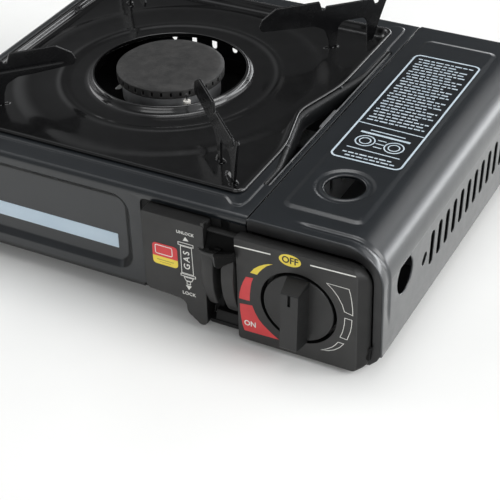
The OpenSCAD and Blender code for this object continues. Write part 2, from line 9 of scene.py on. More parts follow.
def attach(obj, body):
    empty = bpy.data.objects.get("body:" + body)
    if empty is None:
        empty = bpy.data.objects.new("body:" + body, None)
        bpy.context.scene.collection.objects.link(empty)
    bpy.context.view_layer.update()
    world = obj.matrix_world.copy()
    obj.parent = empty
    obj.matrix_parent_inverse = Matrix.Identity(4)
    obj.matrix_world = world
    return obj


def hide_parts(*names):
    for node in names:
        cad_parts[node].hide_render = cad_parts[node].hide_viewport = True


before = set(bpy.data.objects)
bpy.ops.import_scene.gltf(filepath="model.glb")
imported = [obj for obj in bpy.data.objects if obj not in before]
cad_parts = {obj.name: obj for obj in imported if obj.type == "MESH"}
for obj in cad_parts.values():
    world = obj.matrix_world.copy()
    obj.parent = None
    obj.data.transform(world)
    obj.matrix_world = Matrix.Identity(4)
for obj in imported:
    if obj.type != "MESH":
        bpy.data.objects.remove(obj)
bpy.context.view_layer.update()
S = 0.001

# ------------------------------------------------------------------ materials


def ramp_mix(nt, fac, a, b):
    """A colour between a and b, by a 0..1 socket."""
    r = nt.nodes.new("ShaderNodeValToRGB")
    r.color_ramp.elements[0].position = 0.3
    r.color_ramp.elements[1].position = 0.7
    r.color_ramp.elements[0].color = (*a, 1)
    r.color_ramp.elements[1].color = (*b, 1)
    nt.links.new(fac, r.inputs[0])
    return r.outputs[0]


def material(name, low, high, rough=(0.35, 0.45), metal=0.0, patch=60.0, grain=1500.0, bump=0.06, coat=0.0,
             coat_rough=0.1, spec=0.5, stretch=None, peel=0.0, peel_scale=220.0, worn=None, trans=0.0):
    """A surface with two close colours in soft patches, uneven gloss and a fine grain in its bump."""
    m = bpy.data.materials.new(name)
    m.use_nodes = True
    nt = m.node_tree
    p = nt.nodes["Principled BSDF"]
    tc = nt.nodes.new("ShaderNodeTexCoord")
    vec = tc.outputs["Object"]
    if stretch:
        mp = nt.nodes.new("ShaderNodeMapping")
        mp.inputs["Scale"].default_value = stretch
        nt.links.new(vec, mp.inputs["Vector"])
        vec = mp.outputs["Vector"]
    n1 = nt.nodes.new("ShaderNodeTexNoise")
    n1.inputs["Scale"].default_value = patch
    n1.inputs["Detail"].default_value = 4
    nt.links.new(vec, n1.inputs["Vector"])
    col = ramp_mix(nt, n1.outputs["Fac"], low, high)
    if worn:
        geo = nt.nodes.new("ShaderNodeNewGeometry")
        r = nt.nodes.new("ShaderNodeValToRGB")
        r.color_ramp.elements[0].position = 0.52
        r.color_ramp.elements[1].position = 0.60
        r.color_ramp.elements[0].color = (0, 0, 0, 1)
        r.color_ramp.elements[1].color = (1, 1, 1, 1)
        nt.links.new(geo.outputs["Pointiness"], r.inputs[0])
        mx = nt.nodes.new("ShaderNodeMix")
        mx.data_type = "RGBA"
        nt.links.new(r.outputs[0], mx.inputs["Factor"])
        nt.links.new(col, mx.inputs["A"])
        mx.inputs["B"].default_value = (*worn, 1)
        col = mx.outputs["Result"]
    nt.links.new(col, p.inputs["Base Color"])
    n2 = nt.nodes.new("ShaderNodeTexNoise")
    n2.inputs["Scale"].default_value = patch * 2.3
    n2.inputs["Detail"].default_value = 3
    nt.links.new(vec, n2.inputs["Vector"])
    mr = nt.nodes.new("ShaderNodeMapRange")
    mr.inputs["From Min"].default_value = 0.3
    mr.inputs["From Max"].default_value = 0.7
    mr.inputs["To Min"].default_value = rough[0]
    mr.inputs["To Max"].default_value = rough[1]
    nt.links.new(n2.outputs["Fac"], mr.inputs["Value"])
    nt.links.new(mr.outputs["Result"], p.inputs["Roughness"])
    n3 = nt.nodes.new("ShaderNodeTexNoise")
    n3.inputs["Scale"].default_value = grain
    n3.inputs["Detail"].default_value = 2
    nt.links.new(vec, n3.inputs["Vector"])
    b = nt.nodes.new("ShaderNodeBump")
    b.inputs["Strength"].default_value = bump
    b.inputs["Distance"].default_value = 0.0003
    nt.links.new(n3.outputs["Fac"], b.inputs["Height"])
    if peel > 0:
        n4 = nt.nodes.new("ShaderNodeTexNoise")
        n4.inputs["Scale"].default_value = peel_scale
        n4.inputs["Detail"].default_value = 1
        nt.links.new(vec, n4.inputs["Vector"])
        b2 = nt.nodes.new("ShaderNodeBump")
        b2.inputs["Strength"].default_value = peel
        b2.inputs["Distance"].default_value = 0.001
        nt.links.new(n4.outputs["Fac"], b2.inputs["Height"])
        nt.links.new(b2.outputs["Normal"], b.inputs["Normal"])
    nt.links.new(b.outputs["Normal"], p.inputs["Normal"])
    p.inputs["Metallic"].default_value = metal
    p.inputs["Specular IOR Level"].default_value = spec
    p.inputs["Coat Weight"].default_value = coat
    p.inputs["Coat Roughness"].default_value = coat_rough
    return m


NAVY = material("navy_powder_coat", (0.0066, 0.0086, 0.0108), (0.0084, 0.0106, 0.0132), rough=(0.33, 0.38), grain=2600, bump=0.08, spec=0.22, coat=1.0, coat_rough=0.24, peel=0.010)
# darker copy of the navy coat: painted shade for the notch well wall and the front field's right and top slopes
NAVY_PAINTED_SHADE = material("navy_coat_in_shade", (0.0030, 0.0034, 0.0038), (0.0045, 0.0050, 0.0055), rough=(0.42, 0.5), grain=2600, bump=0.08, spec=0.25, coat=0.1, coat_rough=0.3, peel=0.010)
BLACKP = material("black_satin_paint", (0.010, 0.010, 0.0105), (0.014, 0.014, 0.0145), rough=(0.36, 0.46), grain=2600, bump=0.10, spec=0.5, peel=0.01)
ENAMEL = material("black_enamel", (0.0028, 0.0028, 0.0030), (0.0044, 0.0044, 0.0046), rough=(0.14, 0.22), grain=900, bump=0.03, coat=0.35, coat_rough=0.08, peel=0.02, peel_scale=140)
ARM = material("arm_enamel", (0.0024, 0.0024, 0.0027), (0.0040, 0.0040, 0.0044), rough=(0.20, 0.30), grain=1200, bump=0.05, spec=0.28, coat=0.12, coat_rough=0.12, peel=0.03)
PANEL = material("panel_moulding", (0.0185, 0.0183, 0.0178), (0.0225, 0.0222, 0.0216), rough=(0.44, 0.54), grain=4200, bump=0.22, spec=0.5)
KNOB = material("knob_moulding", (0.0060, 0.0062, 0.0062), (0.0088, 0.0090, 0.0090), rough=(0.30, 0.42), grain=4200, bump=0.14, spec=0.5)
# darker copy of the panel moulding: painted shade on its sides, tops and the parts behind the guards
PANEL_PAINTED_SHADE = material("panel_moulding_painted_shade", (0.0042, 0.0042, 0.0041), (0.0064, 0.0064, 0.0062), rough=(0.42, 0.52), grain=4200, bump=0.18, spec=0.28)
LEVER = material("lever_moulding", (0.0080, 0.0081, 0.0079), (0.0110, 0.0111, 0.0108), rough=(0.24, 0.34), grain=4200, bump=0.10, spec=0.5)
# darker copy of the lever moulding: painted shade on the head's right part, the arm, the shield behind it and the
# pointer groove
LEVER_PAINTED_SHADE = material("lever_moulding_painted_shade", (0.0014, 0.0014, 0.0014), (0.0024, 0.0024, 0.0023), rough=(0.40, 0.52), grain=4200, bump=0.12, spec=0.10)
RUBBER = material("foot_rubber", (0.008, 0.008, 0.008), (0.014, 0.014, 0.013), rough=(0.65, 0.8), grain=2500, bump=0.3, spec=0.3)
GALV = material("galvanised_sheet", (0.36, 0.37, 0.38), (0.47, 0.48, 0.49), rough=(0.32, 0.48), metal=0.9, patch=110, grain=2200, bump=0.10)
ZINC = material("zinc_plating", (0.46, 0.46, 0.47), (0.58, 0.58, 0.59), rough=(0.22, 0.34), metal=1.0, patch=300, grain=3000, bump=0.1)
CAST = material("die_cast", (0.33, 0.335, 0.345), (0.42, 0.425, 0.435), rough=(0.42, 0.58), metal=0.9, patch=160, grain=2400, bump=0.35)
BRASS = material("turned_brass", (0.50, 0.33, 0.12), (0.62, 0.43, 0.17), rough=(0.22, 0.34), metal=1.0, patch=200, grain=2000, bump=0.08)
ALU = material("rolled_aluminium", (0.66, 0.67, 0.68), (0.78, 0.79, 0.80), rough=(0.26, 0.38), metal=1.0, patch=120, grain=2600, bump=0.12, stretch=(1, 14, 1))
IRON = material("burner_black", (0.016, 0.016, 0.016), (0.035, 0.034, 0.033), rough=(0.55, 0.72), metal=0.2, patch=180, grain=1600, bump=0.5)
CERAMIC = material("white_ceramic", (0.62, 0.60, 0.55), (0.74, 0.72, 0.68), rough=(0.18, 0.28), grain=1500, bump=0.04)
SLEEVE = material("lead_sleeve", (0.11, 0.010, 0.010), (0.16, 0.016, 0.015), rough=(0.45, 0.6), grain=2600, bump=0.2)
STRIP = material("pale_strip", (0.50, 0.62, 0.72), (0.57, 0.68, 0.77), rough=(0.30, 0.42), patch=25, grain=2500, bump=0.05)
RED = material("print_red", (0.60, 0.040, 0.045), (0.70, 0.052, 0.056), rough=(0.34, 0.44), patch=90, grain=3500, bump=0.10)
YELLOW = material("print_yellow", (0.78, 0.60, 0.055), (0.88, 0.70, 0.08), rough=(0.34, 0.44), patch=90, grain=3500, bump=0.10)
WHITE = material("print_white", (0.70, 0.70, 0.66), (0.82, 0.82, 0.78), rough=(0.36, 0.48), patch=120, grain=3500, bump=0.10)
PALE = material("print_pale_blue", (0.44, 0.53, 0.60), (0.56, 0.64, 0.70), rough=(0.36, 0.46), patch=120, grain=3500, bump=0.08)
LABEL = material("label_ground", (0.0045, 0.0056, 0.0072), (0.0065, 0.0078, 0.0098), rough=(0.34, 0.42), patch=60, grain=2800, bump=0.08, spec=0.4)
INK = material("print_black", (0.008, 0.008, 0.008), (0.014, 0.014, 0.013), rough=(0.4, 0.5), patch=120, grain=3500, bump=0.1)
# near-black: painted shade for the pieces behind the slot, the sheet behind the gap and the clip's recess
INTERIOR_PAINTED_SHADE = material("interior_painted_shade", (0.0045, 0.0045, 0.0045), (0.008, 0.008, 0.008), rough=(0.6, 0.75), grain=2000, bump=0.2, spec=0.25)

# -------------------------------------------------------------- mesh helpers


def arc(cx, cy, r, a0, a1, n):
    return [(cx + r * math.cos(math.radians(a0 + (a1 - a0) * i / n)), cy + r * math.sin(math.radians(a0 + (a1 - a0) * i / n))) for i in range(n + 1)]


def clean(pts, eps=1e-4):
    out = []
    for p in pts:
        if not out or math.hypot(p[0] - out[-1][0], p[1] - out[-1][1]) > eps:
            out.append(tuple(p))
    if len(out) > 1 and math.hypot(out[0][0] - out[-1][0], out[0][1] - out[-1][1]) <= eps:
        out.pop()
    return out


def area2(pts):
    return 0.5 * sum(pts[i][0] * pts[(i + 1) % len(pts)][1] - pts[(i + 1) % len(pts)][0] * pts[i][1] for i in range(len(pts)))


def ccw(pts):
    return pts if area2(pts) > 0 else pts[::-1]


def rounded(corners, n=8):
    """Closed outline through corners (x, y, r), each filleted with its radius."""
    out = []
    m = len(corners)
    for i, (x, y, r) in enumerate(corners):
        p = Vector((x, y))
        a = Vector(corners[i - 1][:2]) - p
        b = Vector(corners[(i + 1) % m][:2]) - p
        if r <= 0 or a.length < 1e-9 or b.length < 1e-9:
            out.append((x, y))
            continue
        la, lb = a.length, b.length
        a.normalize()
        b.normalize()
        ang = math.acos(max(-1, min(1, a.dot(b))))
        if abs(math.pi - ang) < 1e-3:
            out.append((x, y))
            continue
        t = min(r / math.tan(ang / 2), la * 0.49, lb * 0.49)
        rr = t * math.tan(ang / 2)
        c = p + (a + b).normalized() * (rr / math.sin(ang / 2))
        s = p + a * t
        e = p + b * t
        a0 = math.atan2(s.y - c.y, s.x - c.x)
        a1 = math.atan2(e.y - c.y, e.x - c.x)
        d = (a1 - a0 + math.pi) % (2 * math.pi) - math.pi
        for k in range(n + 1):
            q = a0 + d * k / n
            out.append((c.x + rr * math.cos(q), c.y + rr * math.sin(q)))
    return ccw(clean(out))


def rrect(x0, x1, y0, y1, r, n=8):
    return rounded([(x0, y0, r), (x1, y0, r), (x1, y1, r), (x0, y1, r)], n)


def circle(cx, cy, r, n=64):
    return [(cx + r * math.cos(2 * math.pi * i / n), cy + r * math.sin(2 * math.pi * i / n)) for i in range(n)]


def slot(cx, cy, w, l, ang=0.0, n=8):
    """Straight slot with round ends, its length along +v turned by ang degrees."""
    pts = arc(0, l / 2 - w / 2, w / 2, 0, 180, n) + arc(0, -l / 2 + w / 2, w / 2, 180, 360, n)
    c, s = math.cos(math.radians(ang)), math.sin(math.radians(ang))
    return ccw(clean([(cx + x * c - y * s, cy + x * s + y * c) for x, y in pts]))


def refine(pts, step):
    """The same closed outline with no edge longer than step."""
    out = []
    for i, p in enumerate(pts):
        q = pts[(i + 1) % len(pts)]
        k = max(1, int(math.ceil(math.hypot(q[0] - p[0], q[1] - p[1]) / step)))
        out += [(p[0] + (q[0] - p[0]) * j / k, p[1] + (q[1] - p[1]) * j / k) for j in range(k)]
    return out


def grow(pts, d):
    """Outline offset outwards by d; a counter-clockwise closed outline."""
    out = []
    m = len(pts)
    for i in range(m):
        p0, p, p1 = Vector(pts[i - 1]), Vector(pts[i]), Vector(pts[(i + 1) % m])
        t0 = (p - p0).normalized()
        t1 = (p1 - p).normalized()
        n0 = Vector((t0.y, -t0.x))
        n1 = Vector((t1.y, -t1.x))
        nn = n0 + n1
        if nn.length < 1e-6:
            nn = n0
        nn.normalize()
        k = max(0.4, nn.dot(n0))
        q = p + nn * (d / k)
        out.append((q.x, q.y))
    return out


def inside(p, poly):
    x, y = p
    c = False
    j = len(poly) - 1
    for i in range(len(poly)):
        xi, yi = poly[i]
        xj, yj = poly[j]
        if (yi > y) != (yj > y) and x < (xj - xi) * (y - yi) / (yj - yi) + xi:
            c = not c
        j = i
    return c


def flat(u, v, h):
    return (u, v, h)


class Build:
    """Collects vertices and faces in millimetres and turns them into one object."""

    def __init__(self):
        self.v, self.f, self.m, self.mat = [], [], [], 0

    def add(self, p):
        self.v.append((p[0] * S, p[1] * S, p[2] * S))
        return len(self.v) - 1

    def face(self, ids):
        self.f.append(tuple(ids))
        self.m.append(self.mat)

    def bridge(self, a, b, closed=True):
        """Quads between two rows of points that match one to one."""
        ia, ib = [self.add(p) for p in a], [self.add(p) for p in b]
        m = len(a)
        for i in range(m if closed else m - 1):
            j = (i + 1) % m
            self.face((ia[i], ia[j], ib[j], ib[i]))

    def rows(self, rows, closed=False):
        for a, b in zip(rows, rows[1:]):
            self.bridge(a, b, closed)

    def fill(self, outer, holes=(), put=lambda u, v: (u, v, 0), keep=None, lines=()):
        """A region bounded by outer, less holes; lines are edges the mesh has to follow."""
        pts, edges = [], []
        for a, c in lines:
            edges.append((len(pts), len(pts) + 1))
            pts += [Vector(a), Vector(c)]
        for lp in [outer, *holes]:
            b, n = len(pts), len(lp)
            pts += [Vector(p) for p in lp]
            edges += [(b + i, b + (i + 1) % n) for i in range(n)]
        vo, _e, fo, _a, _b, _c = delaunay_2d_cdt(pts, edges, [], 0, 1e-5)
        ids = [self.add(put(p.x, p.y)) for p in vo]
        for t in fo:
            c = (sum(vo[i].x for i in t) / len(t), sum(vo[i].y for i in t) / len(t))
            if inside(c, outer) and not any(inside(c, h) for h in holes) and (keep is None or keep(c)):
                self.face([ids[i] for i in t])

    def emboss(self, base, prof, put):
        """Rings that follow an outline: prof is a list of (offset, height)."""
        loops = [[put(u, v, h) for u, v in grow(base, d)] for d, h in prof]
        self.rows(loops, True)

    def make(self, name, mats, body, thick=0.0, sharp=40, toward=None, bevel=0.0, smooth=True, merge=0.004, segs=2, even=True, paint_side_shade=False):
        me = bpy.data.meshes.new(name)
        me.from_pydata(self.v, [], self.f)
        me.polygons.foreach_set("material_index", self.m)
        bm = bmesh.new()
        bm.from_mesh(me)
        bmesh.ops.remove_doubles(bm, verts=bm.verts, dist=merge * S)
        bmesh.ops.dissolve_degenerate(bm, dist=0.0005 * S, edges=bm.edges)
        loose = [v for v in bm.verts if not v.link_faces]
        bmesh.ops.delete(bm, geom=loose, context="VERTS")
        bmesh.ops.recalc_face_normals(bm, faces=bm.faces)
        if toward is not None:
            # the face nearest to the point has to look along the direction
            pt, dr = Vector([c * S for c in toward[0]]), Vector(toward[1])
            near = min(bm.faces, key=lambda f: (f.calc_center_median() - pt).length)
            if near.normal.dot(dr) < 0:
                bmesh.ops.reverse_faces(bm, faces=bm.faces)
        if paint_side_shade:
            # faces that look up, down or sideways take the second material, a darker copy that paints shade on them
            for f in bm.faces:
                f.material_index = 0 if abs(f.normal.y) > 0.72 else 1
        bm.to_mesh(me)
        bm.free()
        me.update()
        ob = bpy.data.objects.new(name, me)
        bpy.context.scene.collection.objects.link(ob)
        for m in mats if isinstance(mats, (list, tuple)) else [mats]:
            me.materials.append(m)
        if smooth:
            me.shade_smooth()
            me.set_sharp_from_angle(angle=math.radians(sharp))
        if thick:
            so = ob.modifiers.new("sheet", "SOLIDIFY")
            so.thickness = thick * S
            so.offset = -1
            so.use_even_offset = False
        if bevel:
            be = ob.modifiers.new("edges", "BEVEL")
            be.width = bevel * S
            be.segments = segs
            be.limit_method = "ANGLE"
            be.angle_limit = math.radians(35)
            be.harden_normals = False
        if smooth:
            wn = ob.modifiers.new("normals", "WEIGHTED_NORMAL")
            wn.keep_sharp = True
            wn.mode = "FACE_AREA"
        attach(ob, body)
        return ob


def prism(b, outline, put, h0, h1, round_top=0.0, round_bottom=0.0, n=4, cap0=True, cap1=True, holes=()):
    """A solid between two heights over an outline, with its top or bottom edge rounded off."""
    prof = []
    if round_bottom > 0:
        prof += [(-round_bottom * (1 - math.sin(a)), h0 + round_bottom * (1 - math.cos(a))) for a in [math.pi / 2 * i / n for i in range(n)]]
    prof += [(0, h0 + round_bottom), (0, h1 - round_top)]
    if round_top > 0:
        prof += [(-round_top * (1 - math.cos(a)), h1 - round_top * (1 - math.sin(a))) for a in [math.pi / 2 * i / n for i in range(1, n + 1)]]
    if round_bottom > 0:
        prof[0] = (-round_bottom, h0)
    b.emboss(outline, prof, put)
    if cap0:
        b.fill(grow(outline, prof[0][0]), list(holes), lambda u, v: put(u, v, prof[0][1]))
    if cap1:
        b.fill(grow(outline, prof[-1][0]), list(holes), lambda u, v: put(u, v, prof[-1][1]))
    for hl in holes:
        b.bridge([put(u, v, prof[0][1]) for u, v in hl], [put(u, v, prof[-1][1]) for u, v in hl])


def smoothstep(a, b, x):
    t = max(0.0, min(1.0, (x - a) / (b - a)))
    return t * t * (3 - 2 * t)


# --------------------------------------------------------------- dimensions
XL, XR, YF, YB = -172.5, 172.5, -125.0, 147.5
TOP, SH, SEAM_L, SEAM_R = 85.0, 25.0, 84.3, 85.0
BX, BY = -45.0, 12.5
PF = -135.0
KX, KZ = 123.0, 38.5
HX, HZ = 91.0, 81.0


NY = -2.0


def notch_x(y):
    """The tray's right edge where it draws back beside the canister bay."""
    d = abs(y - NY)
    return 61.8 + 30 - math.sqrt(900 - d * d) if d < 7.5 else 60.8 + 0.26 * d


def notch_d(x):
    """Distance from the notch's middle where its slope reaches x."""
    return (x - 60.8) / 0.26


# ---------------------------------------------------------------- top shell
def shell():
    b = Build()
    r = 3.6
    SL = 8.0
    arcn = 12
    xs = (60, 30, 2, -30, -60, -90, -120, -150)
    path = [(SEAM_L, TOP)] + [(x, TOP) for x in xs] + arc(XL + SL, TOP - SL, SL, 90, 180, arcn) + [(XL, z) for z in (60, 50, 40, 30, 15)]
    nrm = [(0, 1)] * 9 + [(math.cos(math.radians(90 + 90 * i / arcn)), math.sin(math.radians(90 + 90 * i / arcn))) for i in range(arcn + 1)] + [(-1, 0)] * 5

    def ring(y, d):
        return [(p[0] - n[0] * d, y, p[1] - n[1] * d) for p, n in zip(path, nrm)]

    fold = [(YF + r * (1 - math.sin(a)), r * (1 - math.cos(a))) for a in [math.pi / 2 * i / 6 for i in range(7)]]
    b.rows([ring(y, d) for y, d in fold])
    b.rows([ring(YB - (y - YF), d) for y, d in fold])
    yf, yb = YF + r, YB - r
    # shoulder and left wall between the two folds; the wall below the shoulder has slots
    k0 = 9
    b.rows([[(p[0], yf, p[1]) for p in path[k0:k0 + arcn + 1]], [(p[0], yb, p[1]) for p in path[k0:k0 + arcn + 1]]])
    wall = [(yf, z) for z in (77, 60, 50, 40, 30, 15)] + [(yb, z) for z in (15, 30, 40, 50, 60, 77)]
    slots = [slot(-70 + i * 18, 42, 4, 24) for i in range(10)]
    b.fill(ccw(wall), [grow(s_, 0.8) for s_ in slots], lambda u, v: (XL, u, v))
    for s_ in slots:
        b.emboss(s_, [(0.8, 0), (0.3, 0.15), (0, 0.7)], lambda u, v, h: (XL + h, u, v))
    # raised border round the tray: a ring that is open at the notch, with a slit along its right side
    sl0, sl1, sx, rx = -87.5, 101.5, 82.3, 78.2
    e0, e1 = NY + 39.0, NY - 39.0

    def edge_x(y):
        """The border's edge along the notch, running softly into the slit's straight edge."""
        d = abs(y - NY)
        if d < 58:
            return notch_x(y)
        t = min(d - 58, 17.85)
        return 60.8 + 0.26 * 58 + 0.26 * t - 0.26 * t * t / 35.7

    low = [(edge_x(NY - d), NY - d, 0) for d in (76, 73, 70, 67, 64, 61, 58, 50, 44)]
    high = [(edge_x(NY + d), NY + d, 0) for d in (44, 50, 58, 61, 64, 67, 70, 73, 76)]
    c0 = rounded([(-163.4, -110.3, 9), (62.9, -110.3, 6), (69.5, -115.9, 6), (76.6, -115.9, 4.5), (rx, -108, 5), (rx, sl0, 0), (rx, sl0 + 0.7, 0)] + low
                 + [(edge_x(e1), e1, 0.4), (69.2, e1 - 2.5, 0.8), (69.2, -103.2, 6), (-156.6, -103.2, 9), (-156.6, 126.3, 9), (69.2, 126.3, 6), (69.2, e0 + 2.5, 0.8), (edge_x(e0), e0, 0.4)]
                 + high + [(rx, sl1 - 0.7, 0), (rx, sl1, 0), (rx, 131, 5), (76.6, 139, 4.5), (69.5, 139, 6), (62.9, 133.4, 6), (-163.4, 133.4, 9)], 7)
    c0 = refine(c0, 9.0)

    def outer_side(q):
        return q[0] < -158.5 or q[1] < -104 or q[1] > 129 or (q[0] > 72 and (q[1] <= sl0 + 0.05 or q[1] >= sl1 - 0.05))

    tags = [outer_side(q) for q in c0]
    prof_a = [(-1.9, 1.0), (-1.5, 0.96), (-1.0, 0.72), (-0.5, 0.30), (-0.2, 0.08), (0, 0.0), (0, 0.0), (0, 0.0)]
    prof_b = [(-1.9, 1.0), (-1.5, 0.93), (-1.0, 0.70), (-0.5, 0.25), (-0.2, -0.35), (0, -1.2), (0, -2.4), (0, -3.6)]

    def deep(q):
        return 1.0 + 1.2 * smoothstep(76, 50, abs(q[1] - NY)) if q[0] > 70 else 1.0

    loops = []
    for (da, ha), (db, hb) in zip(prof_a, prof_b):
        g = grow(c0, da)
        loops.append([(u, v, TOP + (ha if t else (hb if hb > -1 else hb * deep(q)))) for (u, v), q, t in zip(g, c0, tags)])
    b.rows(loops, True)
    b.fill(grow(c0, -1.9), [], lambda u, v: (u, v, TOP + 1))
    # flat sheet outside the border, with the slit beside the canister bay
    k = next(i for i in range(len(c0)) if tags[i] and not tags[i - 1])
    run = [q for q, t in zip(c0[k:] + c0[:k], tags[k:] + tags[:k]) if t]
    right = arc(sx - 2, sl0 + 2, 2, 270, 360, 5) + arc(sx - 2, sl1 - 2, 2, 0, 90, 5)
    hole = run + right
    out = [(x, yf) for x in (SEAM_L, *xs, XL + SL)][::-1] + [(SEAM_L, yb)] + [(x, yb) for x in (*xs, XL + SL)]
    b.fill(ccw(out), [hole], lambda u, v: (u, v, TOP))
    edge = [run[-1]] + right + [run[0]]
    b.rows([[(u, v, z) for u, v in edge] for z in (TOP, TOP - 2.6)])
    # wall of the well that follows the notch: a wide soft bend, then down
    line = [-87.4 + 188.8 * i / 94 for i in range(95)]
    bend = ((-1.95, 86.02), (-1.2, 85.98), (-0.5, 85.8), (0.2, 85.4), (0.8, 84.8), (1.3, 84.0), (1.75, 82.8), (2.1, 81.2), (2.3, 79.2), (2.4, 76.8), (2.45, 74.5))
    # the well wall takes the darker navy copy: painted shade
    b.mat = 1
    b.rows([[(edge_x(y) + d * (1 - 0.55 * smoothstep(56, 75, abs(y - NY))), y, z if d < -1.9 else z + (TOP - 2.4 - z) * smoothstep(62, 75.5, abs(y - NY)) * (1 if z < TOP - 2.4 else 0)) for y in line] for d, z in bend])
    b.mat = 0
    # front wall with the pressed field and the opening for the controls
    fr = ring(YF, r)
    inner_arch = [(p[0], p[2]) for p in fr]
    ctrl = [(SEAM_L, 79.4)] + arc(15.2, 75.7, 3.7, 90, 180, 6) + [(11.5, 60), (11.5, 40), (11.5, 15)]
    wall = inner_arch + ctrl[::-1]
    wall = ccw(clean(wall))
    field = rrect(-160, 2.3, 21.8, 76.6, 11.5, 12)
    b.fill(wall, [grow(field, 1.0)], lambda u, v: (u, YF, v))
    slope = [(1.0, 0.0), (0.75, 0.03), (0.4, 0.2), (-0.1, 0.62), (-1.4, 1.85), (-2.4, 2.85), (-2.9, 3.25), (-3.5, 3.46), (-4.2, 3.5)]
    rings = [[(u, YF + h, v) for u, v in grow(field, d)] for d, h in slope]
    side_n = [(q[0] - p_[0], q[1] - p_[1]) for p_, q in zip(field, grow(field, 1.0))]
    m_ = len(field)
    for ra, rb in zip(rings, rings[1:]):
        for i_ in range(m_):
            j_ = (i_ + 1) % m_
            # the field's right and top slopes take the darker navy copy: painted shade
            b.mat = 1 if side_n[i_][0] + side_n[j_][0] > 0.7 or side_n[i_][1] + side_n[j_][1] > 0.9 else 0
            b.face([b.add(q) for q in (ra[i_], ra[j_], rb[j_], rb[i_])])
    b.mat = 0
    b.fill(grow(field, -4.2), [], lambda u, v: (u, YF + 3.5, v))
    # rear wall
    wall = ccw(clean([(p[0], p[2]) for p in ring(YB, r)] + [(SEAM_L, 15)]))
    slots = [slot(-140 + i * 18, 42, 4, 24) for i in range(9)]
    b.fill(wall, [grow(s_, 0.8) for s_ in slots], lambda u, v: (u, YB, v))
    for s_ in slots:
        b.emboss(s_, [(0.8, 0), (0.3, 0.15), (0, 0.7)], lambda u, v, h: (u, YB - h, v))
    ob = b.make("shell_sheet", [NAVY, NAVY_PAINTED_SHADE], "body", thick=0.9, toward=((-100, 135, 85), (0, 0, 1)), sharp=50)
    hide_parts("body_shell")


